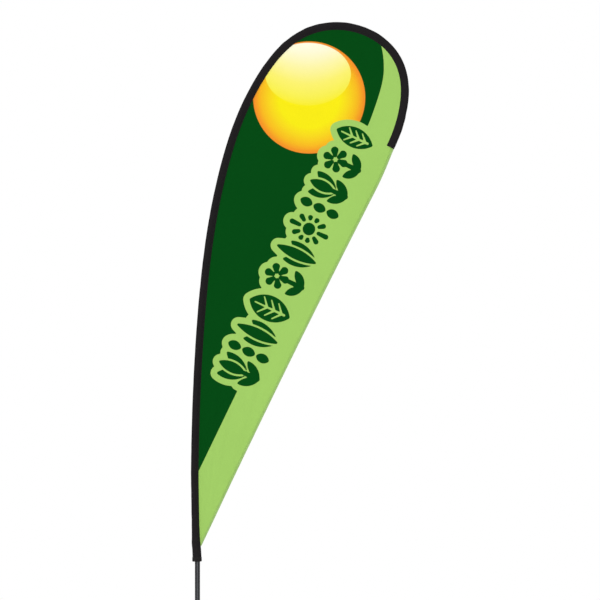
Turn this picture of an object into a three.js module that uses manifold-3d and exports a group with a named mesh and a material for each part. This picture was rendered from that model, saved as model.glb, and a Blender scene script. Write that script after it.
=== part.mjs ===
// A teardrop flag on a folding cross base. Millimetres, +Z up.
// The origin is on the floor under the spindle. The pole bows towards +X, and the sail lies in the XZ plane.
import * as THREE from 'three';
import { mergeVertices } from 'three/addons/utils/BufferGeometryUtils.js';
import Module from 'manifold-3d';

const wasm = await Module();
wasm.setup();

// Clearances
const touchGap = 0.3; // between two pieces that touch
const slipGap = 0.3; // around a plug, rod or shank in its bore
const housingLift = 2.9; // between the upper leg and the housing that turns over it
const tautGap = 0.6; // between the sail's back and the strap that lies over it

// Bow of the pole: [share of the bow's length, lean from upright in degrees]
const bowFoot = 480; // height at which the pole starts to bend
const bowLength = 3262; // along the pole, from there to the end of the sleeve
const bowLeans = [
  [0, 0], [0.03, -3], [0.15, 1.5], [0.3, 3.5], [0.45, 9.5], [0.6, 23.5],
  [0.7, 45.5], [0.77, 84.5], [0.84, 124.5], [0.92, 179], [1, 206.5],
];
const bowFacets = 56;
const bowTurnWeight = 0.5; // how far the facets crowd where the bow turns most, 0 to 1

// Sleeve along the leading edge: a teardrop section round the pole, pinched where it meets the sail
const sleeveMouth = 12; // arc at which the sleeve starts
const sleeveEaseOuter = [2.5, 1.7, 1.9, 4.9]; // room outside the pole at its foot, two ferrules and tip
const sleeveEaseDepth = [5, 3.5, 3, 5.4]; // room in front of and behind it, at the same places
const sleeveFlap = [6, 8.1, 11.2, 17.6]; // from the pole's inner side to the seam with the sail
const sleeveWall = 1.2;
const sleevePinch = 1.6; // power of the curve from the round back to the seam
const looseOuter = 6.3; // the slack at the mouth pushes the outer edge out by this much
const looseOuterFrom = 60;
const looseOuterTo = 300;
const looseWidth = 6.5; // and it makes the sleeve this much wider
const looseWidthTo = 130;
const cuffHeight = 20; // folded hem at the mouth
const cuffFold = 0.6; // how much the folded hem stands out past the sleeve
const pocketLength = 47; // closed pocket in the far end of the sleeve
const pocketEndWall = 20;

// Sail
const sailThickness = 1.6;
const sailTipArc = 75; // arc at which the sail's bottom corner meets the sleeve
const trailingSag = 6; // how far the trailing edge hollows between its corners
const tipBlunt = 6; // width of the sail's bottom corner
const cornerRise = 27; // from that corner up to where the panel starts, above the hem's end
const hemWidth = 9;
const hemThickness = 2.4;
const hemMitre = 1.6; // the hem's inner edge starts this many hem widths up, clear of the sleeve
const hemEndGap = 1.2; // between the hem's upper end and the sleeve's end
const trailingSteps = 14;

// Pole: a tube, two thinner tubes plugged one into the next, and a solid tapered tip rod
const baseTubeRadius = 11;
const baseTubeWall = 2;
const baseTubeTop = 38; // arc of its upper lip
const sectionWall = 1.8;
const lowerSectionTop = 1060;
const middleSectionTop = 2060;
const plugDepth = 100; // how far each section goes into the one below
const collarHeight = 12;
const ferruleLength = 50;
const ferruleWall = 0.9;
const tipRodEndRadius = 2.6;
const tipCapWall = 0.8;
const tipCapLength = 34;
const tipCapEnd = 10;
const tubeSides = 16;
const sectionSides = 12;

// Cross base: two flat bars that fold on one bolt
const legWidth = 40;
const legThickness = 6;
const lowerLegLength = 820;
const foldClearance = 13; // folded, the upper leg's feet pass the lower leg's ends by this much
const legCorner = 8;
const legSpread = 45; // degrees from +X to the upper leg
const lowerFootHeight = 13.7;
const footLength = 42;
const footCorner = 6;
const footBevel = 1.2;
const footInset = 26; // end of a leg to its foot screw
const footScrewRadius = 2.5;
const footScrewHead = 4.6; // countersunk, so the cone is as high as it is wide
const footScrewSink = 0.4; // from the head up to the leg's top
const footScrewBite = 8;

// Pivot bolt and what it clamps
const boltRadius = 6;
const boltHeadShare = 3; // across the flats, in shank radii
const boltHeadHeight = 7.5;
const nutHeight = 10;
const bearingNutHeight = 6;
const boltEndPast = 1.7;
const legWasherThickness = 1.5;
const legWasherRadius = 19;
const lockWasherThickness = 2;
const centreFootWall = 6.3;

// Bearings and the housing that turns on them
const raceDepth = 8; // from the bolt to the outside of the bearing
const raceWall = 1.8;
const raceHeight = 8;
const bearingSpacing = 20; // from the foot of one bearing to the foot of the other
const ballCount = 7;
const cageHeight = 2.6;
const cageWall = 1.5;
const housingWall = 8;
const skirtStep = 3; // the skirt under the bearings is this much wider than they are
const housingTopWall = 8; // height of the rim round the spindle's plug
const plugStep = 1.7; // the spindle's plug is this much wider than the bearings
const plugDrop = 7.7;
const sealClearance = 0.9; // round the clamp nut's corners
const sealHeight = 4.2;
const setScrewRadius = 2.5;
const setScrewCount = 3;
const setScrewTip = 0.1; // from its point in to the plug's bore
const setScrewSink = 0.8; // below the housing's side

// Spindle
const flangeHeight = 4;
const seatStep = 3; // the pole's seat is this much wider than the pole
const seatHeight = 3;
const spindleClearance = 0.4; // to the pole's bore
const spindleLength = 215;
const spindleLead = 4; // chamfer at its top
const grooveDepth = 1.8;
const grooveHeight = 2.3;
const grooveShares = [0.27, 0.85]; // along the spindle
const ringProud = 0.15; // how far an O-ring stands out of its groove

// Strap that pulls the sleeve down to the pole, on the back of the sail
const strapWidth = 20;
const strapThickness = 1.6;
const strapOverlap = 38; // length sewn to the sleeve
const studDrop = 52; // from the bow's foot down to the stud
const studRadius = 2.4;
const studFlange = 5;
const studHeadRadius = 4.4;
const studHeadHeight = 1.8;
const eyeletInnerRadius = 4.7;
const eyeletRim = 1.9;
const strapEnd = 13; // from the eyelet's centre to the strap's lower end

// Worked-out sizes
const upperLegLength = lowerLegLength + 2 * (footLength + foldClearance);
const boltHeadAcross = boltRadius * boltHeadShare;
const hexCorner = boltHeadAcross / Math.sqrt(3);
const raceOuterRadius = boltRadius + raceDepth;
const housingSkirtRadius = raceOuterRadius + skirtStep;
const plugRadius = raceOuterRadius + plugStep;
const housingRadius = plugRadius + slipGap + housingWall;
const sealInnerRadius = hexCorner + sealClearance;
const legUnderside = lowerFootHeight + touchGap;
const lowerLegTop = legUnderside + legThickness;
const legWasherBase = lowerLegTop + touchGap;
const upperLegUnderside = legWasherBase + legWasherThickness + touchGap;
const upperLegTop = upperLegUnderside + legThickness;
const upperFootHeight = upperLegUnderside - touchGap;
const lockWasherBase = upperLegTop + touchGap;
const nutBase = lockWasherBase + lockWasherThickness + touchGap;
const lowerRaceBase = nutBase + nutHeight + touchGap;
const upperRaceBase = lowerRaceBase + bearingSpacing;
const bearingNutBase = upperRaceBase + raceHeight + touchGap;
const boltEnd = bearingNutBase + bearingNutHeight + boltEndPast;
const housingBase = upperLegTop + housingLift;
const plugBase = boltEnd + 1;
const housingTop = plugBase + housingTopWall;
const flangeBase = housingTop + touchGap;
const seatBase = flangeBase + flangeHeight;
const spindleBase = seatBase + seatHeight;
const spindleTop = spindleBase + spindleLength;
const raceInnerBore = boltRadius + slipGap;
const innerRaceRadius = raceInnerBore + raceWall;
const outerRaceBore = raceOuterRadius - raceWall;
const ballRadius = (outerRaceBore - innerRaceRadius) / 2 - slipGap;
const ballPitch = (outerRaceBore + innerRaceRadius) / 2;
const tubeBore = baseTubeRadius - baseTubeWall;
const spindleRadius = tubeBore - spindleClearance;
const seatRadius = baseTubeRadius + seatStep;
const lowerSectionRadius = tubeBore - slipGap;
const middleSectionRadius = lowerSectionRadius - sectionWall - slipGap;
const tipRodRadius = middleSectionRadius - sectionWall - slipGap;
const poleStops = [0, lowerSectionTop, middleSectionTop, bowLength];
const poleRadii = [
  baseTubeRadius, lowerSectionRadius + slipGap + ferruleWall, middleSectionRadius + slipGap + ferruleWall,
  tipRodEndRadius,
];
const tubeFootArc = spindleBase + touchGap - bowFoot;
const pocketFrom = bowLength - pocketLength;
const tipCapFrom = bowLength - pocketEndWall - touchGap - tipCapLength;
const eyeletHeight = bowFoot - studDrop + eyeletInnerRadius - studRadius - touchGap;

// Sides of the turned pieces
const turnedSides = 24;
const smallSides = 16;

// Materials
function finish(color, roughness, metalness) {
  return new THREE.MeshStandardMaterial({ color, roughness, metalness });
}
const finishes = {
  sail: finish('#a2ce67', 0.85, 0),
  blackCloth: finish('#211f20', 0.9, 0),
  webbing: finish('#1d1c1d', 0.9, 0),
  tube: finish('#26272a', 0.35, 0.9),
  fibre: finish('#17181a', 0.45, 0),
  ferrule: finish('#b9bcc0', 0.3, 1),
  plastic: finish('#141415', 0.6, 0),
  rubber: finish('#1b1b1b', 0.95, 0),
  nylon: finish('#d9d6cc', 0.6, 0),
  leg: finish('#1c1d1f', 0.5, 0.6),
  zinc: finish('#a8abad', 0.35, 1),
  bearing: finish('#c4c7ca', 0.2, 1),
  turned: finish('#8f9397', 0.3, 1),
  brass: finish('#b08d45', 0.3, 1),
};

const flag = new THREE.Group();

function piece(name, geometry, material, parent = flag) {
  const mesh = new THREE.Mesh(geometry, material.clone());
  mesh.name = name;
  parent.add(mesh);
  return mesh;
}

// Solids for joining and cutting
function toSolid(geometry) {
  const bare = geometry.clone();
  bare.deleteAttribute('normal');
  bare.deleteAttribute('uv');
  const merged = mergeVertices(bare, 1e-4);
  const vertProperties = new Float32Array(merged.getAttribute('position').array);
  const triVerts = new Uint32Array(merged.getIndex().array);
  return new wasm.Manifold(new wasm.Mesh({ numProp: 3, vertProperties, triVerts }));
}

function toGeometry(solid) {
  const mesh = solid.getMesh();
  const geometry = new THREE.BufferGeometry();
  geometry.setAttribute('position', new THREE.BufferAttribute(mesh.vertProperties, 3));
  geometry.setIndex(new THREE.BufferAttribute(mesh.triVerts, 1));
  geometry.computeVertexNormals();
  return geometry;
}

function cut(geometry, ...tools) {
  return toGeometry(tools.reduce((solid, tool) => solid.subtract(toSolid(tool)), toSolid(geometry)));
}

function join(geometry, ...others) {
  return toGeometry(others.reduce((solid, other) => solid.add(toSolid(other)), toSolid(geometry)));
}

// Turned pieces: [radius, height] points, anticlockwise with the radius to the right, about the Z axis
function turned(profile, sides = turnedSides) {
  const points = profile.map(([radius, height]) => new THREE.Vector2(radius, height));
  return new THREE.LatheGeometry(points, sides).rotateX(Math.PI / 2);
}

function ring(inner, outer, base, top, sides = smallSides) {
  return turned([[inner, base], [outer, base], [outer, top], [inner, top], [inner, base]], sides);
}

function rod(radius, base, top, sides = smallSides) {
  return turned([[0, base], [radius, base], [radius, top], [0, top]], sides);
}

function polygon(sides, radius, Kind = THREE.Shape) {
  const outline = new Kind();
  for (let i = 0; i < sides; i += 1) {
    const turn = (i / sides) * 2 * Math.PI;
    const place = [radius * Math.cos(turn), radius * Math.sin(turn)];
    if (i === 0) outline.moveTo(...place);
    else outline.lineTo(...place);
  }
  outline.closePath();
  return outline;
}

function hexNut(height) {
  const shape = polygon(6, hexCorner);
  shape.holes.push(new THREE.Path().absarc(0, 0, boltRadius + slipGap, 0, 2 * Math.PI, true));
  return new THREE.ExtrudeGeometry(shape, { depth: height, bevelEnabled: false, curveSegments: 8 });
}

function roundedBar(length, width, corner) {
  const x = length / 2;
  const y = width / 2;
  const shape = new THREE.Shape();
  shape.moveTo(-x + corner, -y);
  shape.lineTo(x - corner, -y);
  shape.absarc(x - corner, -y + corner, corner, -Math.PI / 2, 0, false);
  shape.lineTo(x, y - corner);
  shape.absarc(x - corner, y - corner, corner, 0, Math.PI / 2, false);
  shape.lineTo(-x + corner, y);
  shape.absarc(-x + corner, y - corner, corner, Math.PI / 2, Math.PI, false);
  shape.lineTo(-x, -y + corner);
  shape.absarc(-x + corner, -y + corner, corner, Math.PI, 1.5 * Math.PI, false);
  return shape;
}

function smooth(value, from, to) {
  return THREE.MathUtils.smoothstep(value, from, to);
}

// Lean of the bow at an arc: a smooth curve through the stations, with the chords' weighted slopes
function leanAt(arc) {
  const share = THREE.MathUtils.clamp(arc / bowLength, 0, 1);
  const chords = bowLeans.slice(1).map(([to, lean], i) => {
    const [from, leanBefore] = bowLeans[i];
    return (lean - leanBefore) / (to - from);
  });
  const slopes = bowLeans.map(([place], i) => {
    if (i === 0) return 0;
    if (i === chords.length) return chords[i - 1];
    const before = place - bowLeans[i - 1][0];
    const after = bowLeans[i + 1][0] - place;
    return (chords[i - 1] * after + chords[i] * before) / (before + after);
  });
  let i = 0;
  while (i < chords.length - 1 && share > bowLeans[i + 1][0]) i += 1;
  const [from, leanFrom] = bowLeans[i];
  const [to, leanTo] = bowLeans[i + 1];
  const span = to - from;
  const t = (share - from) / span;
  const lean = (2 * t ** 3 - 3 * t ** 2 + 1) * leanFrom + (t ** 3 - 2 * t ** 2 + t) * span * slopes[i]
    + (3 * t ** 2 - 2 * t ** 3) * leanTo + (t ** 3 - t ** 2) * span * slopes[i + 1];
  return THREE.MathUtils.degToRad(lean);
}

// Stations of the faceted bow, each facet an even share of length and turning together
function bowStations() {
  const fine = 1600;
  const step = bowLength / fine;
  const walk = [{ arc: 0, x: 0, z: bowFoot, lean: 0, turned: 0 }];
  for (let i = 1; i <= fine; i += 1) {
    const last = walk[i - 1];
    const lean = leanAt(i * step);
    const middle = (lean + last.lean) / 2;
    walk.push({
      arc: i * step,
      x: last.x + Math.sin(middle) * step,
      z: last.z + Math.cos(middle) * step,
      lean,
      turned: last.turned + Math.abs(lean - last.lean),
    });
  }
  const full = walk[fine].turned;
  const mix = THREE.MathUtils.lerp;
  const measure = (spot) => mix(spot.arc / bowLength, spot.turned / full, bowTurnWeight);
  const middleArc = (looseWidthTo + looseOuterTo) / 2;
  const keyArcs = [sailTipArc, sailTipArc + cornerRise, looseWidthTo, middleArc, looseOuterTo];
  const found = [walk[0]];
  let evenShares = 1;
  walk.slice(1).forEach((spot, i) => {
    const isEven = measure(spot) >= evenShares / bowFacets - 1e-9;
    if (isEven) evenShares += 1;
    if (isEven || keyArcs.some((arc) => walk[i].arc < arc && spot.arc >= arc)) found.push(spot);
  });
  return found;
}
const stations = bowStations();

// A point of the faceted bow; below its foot the pole runs straight down
function bowPoint(arc) {
  if (arc <= 0) return { x: 0, z: bowFoot + arc, lean: 0 };
  let i = 0;
  while (i < stations.length - 2 && arc > stations[i + 1].arc) i += 1;
  const a = stations[i];
  const b = stations[i + 1];
  const t = (arc - a.arc) / (b.arc - a.arc);
  const mix = THREE.MathUtils.lerp;
  return { x: mix(a.x, b.x, t), z: mix(a.z, b.z, t), lean: mix(a.lean, b.lean, t) };
}

// A point off the bow: across is towards the sail, square to the pole
function offBow(arc, across) {
  const { x, z, lean } = bowPoint(arc);
  return new THREE.Vector2(x + across * Math.cos(lean), z - across * Math.sin(lean));
}

function bowStops(from, to) {
  const between = stations.map((spot) => spot.arc).filter((arc) => arc > from + 1 && arc < to - 1);
  return [from, ...between, to];
}

// A unit circle for a section's outside and, for a hole, a circle just inside it, so that the end faces
// join each outer corner to the inner corners next to it
const holeShare = 0.9;
const isInHole = (x, y) => Math.hypot(x, y) < (1 + holeShare) / 2;

function sectionShape(sides, hollow) {
  const shape = polygon(sides, 1);
  if (hollow) shape.holes.push(polygon(sides, holeShare, THREE.Path));
  return shape;
}

// A straight extrusion bent along the bow; place(turn, isHole, arc) gives [across, depth] for a corner
// of the section.
function alongBow(from, to, place, hollow, sides) {
  const stops = bowStops(from, to);
  const steps = stops.length - 1;
  const geometry = new THREE.ExtrudeGeometry(sectionShape(sides, hollow), {
    depth: steps, steps, bevelEnabled: false,
  });
  const corners = geometry.getAttribute('position');
  for (let i = 0; i < corners.count; i += 1) {
    const x = corners.getX(i);
    const y = corners.getY(i);
    const arc = stops[Math.round(corners.getZ(i))];
    const [across, depth] = place(Math.atan2(y, x), isInHole(x, y), arc);
    const spot = offBow(arc, across);
    corners.setXYZ(i, spot.x, depth, spot.y);
  }
  return geometry;
}

// A short straight tube laid on the bow, with the section of its middle all along; place as above
function straightOnBow(from, to, place, sides = sectionSides) {
  const start = bowPoint(from);
  const end = bowPoint(to);
  const lean = Math.atan2(end.x - start.x, end.z - start.z);
  const geometry = new THREE.ExtrudeGeometry(sectionShape(sides, true), { depth: 1, bevelEnabled: false });
  const corners = geometry.getAttribute('position');
  for (let i = 0; i < corners.count; i += 1) {
    const x = corners.getX(i);
    const y = corners.getY(i);
    const [across, depth] = place(Math.atan2(y, x), isInHole(x, y), (from + to) / 2);
    const foot = corners.getZ(i) < 0.5 ? start : end;
    corners.setXYZ(i, foot.x + across * Math.cos(lean), depth, foot.z - across * Math.sin(lean));
  }
  return geometry;
}

// A round tube on the bow; a radius may be a function of the arc
function tubeOnBow(from, to, outer, inner, sides = sectionSides) {
  const radiusAt = (radius, arc) => (typeof radius === 'function' ? radius(arc) : radius);
  return alongBow(from, to, (turn, isHole, arc) => {
    const radius = radiusAt(isHole ? inner : outer, arc);
    return [radius * Math.cos(turn), radius * Math.sin(turn)];
  }, inner !== undefined, sides);
}

// Straight between values given at the pole's foot, two ferrules and tip
function alongPole(values, arc) {
  let i = 0;
  while (i < poleStops.length - 2 && arc > poleStops[i + 1]) i += 1;
  return THREE.MathUtils.mapLinear(arc, poleStops[i], poleStops[i + 1], values[i], values[i + 1]);
}

// The sleeve's section at an arc, drawn in from its outside by an inset
function sleeveSize(arc) {
  const radius = alongPole(poleRadii, arc);
  const slack = looseOuter * (1 - smooth(arc, looseOuterFrom, looseOuterTo));
  const spread = looseWidth * (1 - smooth(arc, sleeveMouth, looseWidthTo));
  return {
    back: radius + alongPole(sleeveEaseDepth, arc),
    outer: radius + alongPole(sleeveEaseOuter, arc) + slack,
    seam: radius + alongPole(sleeveFlap, arc) + spread - slack,
  };
}

function sleeveCorner(turn, inset, arc) {
  const { back, outer, seam } = sleeveSize(arc);
  const reach = Math.cos(turn);
  const depth = back - inset;
  if (reach <= 0) return [(outer - inset) * reach, depth * Math.sin(turn)];
  const side = Math.abs(turn) < 1e-6 ? 0 : Math.sign(turn);
  return [(seam - inset) * reach, side * depth * (1 - reach ** sleevePinch)];
}

function sleeveWallCorner(stand) {
  return (turn, isHole, arc) => sleeveCorner(turn, isHole ? sleeveWall : -stand, arc);
}

// Sail outline
const seamLine = (arc, inset = 0) => offBow(arc, sleeveSize(arc).seam + touchGap + inset);
const sailHead = offBow(bowLength + touchGap, -sleeveSize(bowLength).outer);
const sailFoot = seamLine(sailTipArc).add(new THREE.Vector2(tipBlunt, 0));

function trailingPoint(share, inset) {
  const run = sailHead.clone().sub(sailFoot);
  const inward = new THREE.Vector2(-run.y, run.x).normalize();
  const hollow = trailingSag * 4 * share * (1 - share);
  return sailFoot.clone().addScaledVector(run, share).addScaledVector(inward, hollow + inset);
}

function trailingLine(inset, from = 0, to = 1) {
  const line = [];
  for (let i = 0; i <= trailingSteps; i += 1) {
    line.push(trailingPoint(THREE.MathUtils.lerp(from, to, i / trailingSteps), inset));
  }
  return line;
}

// A flat sheet in the XZ plane, centred on Y = 0
function sheet(outline, thickness) {
  const shape = new THREE.Shape(outline);
  const geometry = new THREE.ExtrudeGeometry(shape, { depth: thickness, bevelEnabled: false });
  return geometry.rotateX(Math.PI / 2).translate(0, thickness / 2, 0);
}

function addSail() {
  const start = stations.find((spot) => spot.arc >= sailTipArc + cornerRise).arc;
  const seam = bowStops(start, bowLength).map((arc) => seamLine(arc));
  const headInside = offBow(bowLength + touchGap, sleeveSize(bowLength).seam + touchGap);
  const headOutside = offBow(bowLength + touchGap, hemWidth + touchGap - sleeveSize(bowLength).outer);
  const edge = trailingLine(hemWidth + touchGap).filter((point) => point.y > seam[0].y + tipBlunt);
  edge.pop();
  const outline = [...seam, headInside, headOutside, ...edge.reverse()];
  piece('flag_panel', sheet(outline, sailThickness), finishes.sail);

  const length = sailHead.distanceTo(sailFoot);
  const head = 1 - hemEndGap / length;
  const outer = trailingLine(0, 0, head);
  const hemInner = trailingLine(hemWidth, (hemWidth * hemMitre) / length, head);
  const hemOutline = [...outer, ...hemInner.reverse()];
  piece('trailing_hem', sheet(hemOutline, hemThickness), finishes.sail);
}

function addSleeve() {
  const cuffTop = sleeveMouth + cuffHeight;
  const cuff = straightOnBow(sleeveMouth, cuffTop, sleeveWallCorner(cuffFold));
  piece('sleeve_cuff', cuff, finishes.blackCloth);
  const sleeve = alongBow(cuffTop + touchGap, bowLength, sleeveWallCorner(0), true, sectionSides);
  piece('pole_sleeve', sleeve, finishes.blackCloth);

  const clear = sleeveWall + touchGap;
  const corner = (turn, isHole, arc) => sleeveCorner(turn, clear, arc);
  const block = alongBow(pocketFrom, bowLength, corner, false, sectionSides);
  const capRadius = tipRodEndRadius + slipGap + tipCapWall;
  const bore = tubeOnBow(pocketFrom - 5, bowLength - pocketEndWall, capRadius + slipGap);
  piece('end_pocket', cut(block, bore), finishes.webbing);
}

function addPole() {
  const studHole = rod(studRadius + slipGap, 0, baseTubeRadius * 2)
    .rotateX(-Math.PI / 2).translate(0, 0, bowFoot - studDrop);
  const baseTube = tubeOnBow(tubeFootArc, baseTubeTop, baseTubeRadius, tubeBore, tubeSides);
  piece('base_tube', cut(baseTube, studHole), finishes.tube);
  const collarFrom = baseTubeTop + touchGap;
  const collar = tubeOnBow(collarFrom, collarFrom + collarHeight, baseTubeRadius, tubeBore, tubeSides);
  piece('joint_collar', collar, finishes.plastic);

  const lowerBore = lowerSectionRadius - sectionWall;
  const lowerFrom = baseTubeTop - plugDepth;
  piece('lower_section', tubeOnBow(lowerFrom, lowerSectionTop, lowerSectionRadius, lowerBore),
    finishes.fibre);
  const middleBore = middleSectionRadius - sectionWall;
  const middleFrom = lowerSectionTop - plugDepth;
  piece('middle_section', tubeOnBow(middleFrom, middleSectionTop, middleSectionRadius, middleBore),
    finishes.fibre);
  // the lower ferrule sits where the bow is almost straight; the middle one bends with the pole
  const lowerCollar = (turn, isHole) => {
    const radius = lowerSectionRadius + slipGap + (isHole ? 0 : ferruleWall);
    return [radius * Math.cos(turn), radius * Math.sin(turn)];
  };
  piece('lower_ferrule', straightOnBow(lowerSectionTop - ferruleLength, lowerSectionTop, lowerCollar),
    finishes.ferrule);
  const ferruleBore = middleSectionRadius + slipGap;
  const middleFerrule = tubeOnBow(middleSectionTop - ferruleLength, middleSectionTop,
    ferruleBore + ferruleWall, ferruleBore);
  piece('middle_ferrule', middleFerrule, finishes.ferrule);

  const rodFrom = middleSectionTop - plugDepth;
  const rodTo = tipCapFrom + tipCapLength - tipCapEnd - touchGap;
  const taper = (arc) => THREE.MathUtils.mapLinear(
    Math.max(arc, middleSectionTop), middleSectionTop, rodTo, tipRodRadius, tipRodEndRadius,
  );
  piece('tip_rod', tubeOnBow(rodFrom, rodTo, taper), finishes.fibre);
  const capBore = tipRodEndRadius + slipGap;
  const capTo = tipCapFrom + tipCapLength;
  const capBlock = tubeOnBow(tipCapFrom, capTo, capBore + tipCapWall);
  const capHollow = tubeOnBow(tipCapFrom - 5, capTo - tipCapEnd, capBore + 0.1);
  piece('tip_cap', cut(capBlock, capHollow), finishes.plastic);
}

// Strap, eyelet and stud behind the pole, at the sleeve's mouth
function addStrap() {
  const studHeight = bowFoot - studDrop;
  const strapBack = sleeveSize(sleeveMouth).back + cuffFold + tautGap;
  const strapFront = strapBack + strapThickness;
  const strapTop = bowFoot + sleeveMouth + strapOverlap;
  const strapFoot = eyeletHeight - strapEnd;
  const half = strapWidth / 2;
  const shape = new THREE.Shape();
  shape.moveTo(half, eyeletHeight);
  shape.lineTo(half, strapTop);
  shape.lineTo(-half, strapTop);
  shape.lineTo(-half, eyeletHeight);
  shape.bezierCurveTo(-half, strapFoot, half, strapFoot, half, eyeletHeight);
  const eyeletOuter = eyeletInnerRadius + eyeletRim;
  shape.holes.push(new THREE.Path().absarc(0, eyeletHeight, eyeletOuter + slipGap, 0, 2 * Math.PI, true));
  const strap = piece('tension_strap', new THREE.ExtrudeGeometry(shape, {
    depth: strapThickness, bevelEnabled: false, curveSegments: 8,
  }), finishes.webbing);
  strap.rotation.x = Math.PI / 2;
  strap.position.y = strapFront;

  const faceOut = new THREE.Group();
  faceOut.rotation.x = -Math.PI / 2;
  flag.add(faceOut);
  const rim = 0.5;
  const eyelet = piece('strap_eyelet',
    ring(eyeletInnerRadius, eyeletOuter, strapBack - rim, strapFront + rim), finishes.brass, faceOut);
  eyelet.position.y = -eyeletHeight;
  const flangeIn = baseTubeRadius + touchGap;
  const flangeOut = strapBack - rim - touchGap - 0.2;
  const headIn = strapFront + rim + touchGap;
  const stud = piece('tension_stud', turned([
    [0, tubeBore], [studRadius, tubeBore], [studRadius, flangeIn], [studFlange, flangeIn],
    [studFlange, flangeOut], [studRadius, flangeOut], [studRadius, headIn], [studHeadRadius, headIn],
    [studHeadRadius, headIn + studHeadHeight / 2], [studRadius, headIn + studHeadHeight],
    [0, headIn + studHeadHeight],
  ], smallSides), finishes.zinc, faceOut);
  stud.position.y = -studHeight;
}

function addLeg(name, length, underside, footHeight, heading, feet) {
  const frame = new THREE.Group();
  frame.rotation.z = THREE.MathUtils.degToRad(heading);
  flag.add(frame);
  const screwAt = length / 2 - footInset;
  const shape = roundedBar(length, legWidth, legCorner);
  [[0, boltRadius], [screwAt, footScrewRadius], [-screwAt, footScrewRadius]].forEach(([x, radius]) => {
    shape.holes.push(new THREE.Path().absarc(x, 0, radius + slipGap, 0, 2 * Math.PI, true));
  });
  const legTop = underside + legThickness;
  const headTop = legTop - footScrewSink;
  const headBase = headTop - (footScrewHead - footScrewRadius);
  const coneGap = slipGap * Math.SQRT2; // sideways gap that leaves slipGap square to the cone
  const holeRadius = footScrewRadius + slipGap;
  const headRoom = footScrewHead + coneGap;
  const sinks = [screwAt, -screwAt].map((x) => turned([
    [0, headBase + slipGap - coneGap], [holeRadius, headBase + slipGap - coneGap], [headRoom, headTop],
    [headRoom, legTop + 1], [0, legTop + 1],
  ], 12).translate(x, 0, 0));
  const bar = new THREE.ExtrudeGeometry(shape, {
    depth: legThickness, bevelEnabled: false, curveSegments: 6,
  }).translate(0, 0, underside);
  piece(name, cut(bar, ...sinks), finishes.leg, frame);

  feet.forEach((number, i) => {
    const side = i === 0 ? 1 : -1;
    const block = new THREE.ExtrudeGeometry(
      roundedBar(footLength - 2 * footBevel, legWidth - 2 * footBevel, footCorner - footBevel),
      {
        depth: footHeight - 2 * footBevel, bevelSize: footBevel, bevelThickness: footBevel,
        bevelSegments: 1, curveSegments: 2,
      },
    ).translate(0, 0, footBevel);
    const hole = rod(holeRadius, footHeight - footScrewBite - slipGap, footHeight + 5, 12);
    const foot = piece(`foot_${number}`, cut(block, hole), finishes.rubber, frame);
    foot.position.x = side * screwAt;
    const screw = piece(`foot_screw_${number}`, turned([
      [0, footHeight - footScrewBite], [footScrewRadius, footHeight - footScrewBite],
      [footScrewRadius, headBase], [footScrewHead, headTop], [0, headTop],
    ], 12), finishes.zinc, frame);
    screw.position.x = side * screwAt;
  });
}

function addPivot() {
  const headTop = legUnderside - touchGap;
  const headBase = headTop - boltHeadHeight;
  const bore = boltRadius + slipGap;
  const head = new THREE.CylinderGeometry(hexCorner, hexCorner, boltHeadHeight, 6)
    .rotateX(Math.PI / 2).translate(0, 0, headBase + boltHeadHeight / 2);
  const shank = turned([
    [0, headTop - 2], [boltRadius, headTop - 2], [boltRadius, boltEnd - 1], [boltRadius - 1, boltEnd],
    [0, boltEnd],
  ]);
  piece('pivot_bolt', join(head, shank), finishes.zinc);
  const pocket = hexCorner + slipGap;
  const centreFootRadius = hexCorner + centreFootWall;
  const floor = headBase - touchGap;
  const chamfer = 1.5;
  piece('centre_foot', turned([
    [0, 0], [centreFootRadius - chamfer, 0], [centreFootRadius, chamfer], [centreFootRadius, headTop],
    [pocket, headTop], [pocket, floor], [0, floor],
  ]), finishes.rubber);
  const legWasherTop = legWasherBase + legWasherThickness;
  const lockWasherTop = lockWasherBase + lockWasherThickness;
  piece('leg_washer', ring(bore, legWasherRadius, legWasherBase, legWasherTop), finishes.nylon);
  piece('lock_washer', ring(bore, hexCorner, lockWasherBase, lockWasherTop), finishes.zinc);
  piece('clamp_nut', hexNut(nutHeight), finishes.zinc).position.z = nutBase;
  piece('bearing_nut', hexNut(bearingNutHeight), finishes.zinc).position.z = bearingNutBase;
}

function addBearings() {
  [['lower', lowerRaceBase], ['upper', upperRaceBase]].forEach(([name, base]) => {
    const top = base + raceHeight;
    piece(`${name}_inner_race`, ring(raceInnerBore, innerRaceRadius, base, top), finishes.bearing);
    piece(`${name}_outer_race`, ring(outerRaceBore, raceOuterRadius, base, top), finishes.bearing);
    const middle = base + raceHeight / 2;
    const cage = ring(ballPitch - cageWall / 2, ballPitch + cageWall / 2, middle - cageHeight / 2,
      middle + cageHeight / 2, 2 * ballCount);
    const balls = [];
    for (let i = 0; i < ballCount; i += 1) {
      const turn = (i / ballCount) * 2 * Math.PI;
      const ball = new THREE.SphereGeometry(ballRadius, 8, 4);
      balls.push(ball.translate(ballPitch * Math.cos(turn), ballPitch * Math.sin(turn), middle));
    }
    piece(`${name}_ball_cage`, join(cage, ...balls), finishes.brass);
  });
  piece('bearing_spacer', ring(raceInnerBore, innerRaceRadius, lowerRaceBase + raceHeight + touchGap,
    upperRaceBase - touchGap), finishes.zinc);
}

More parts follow.
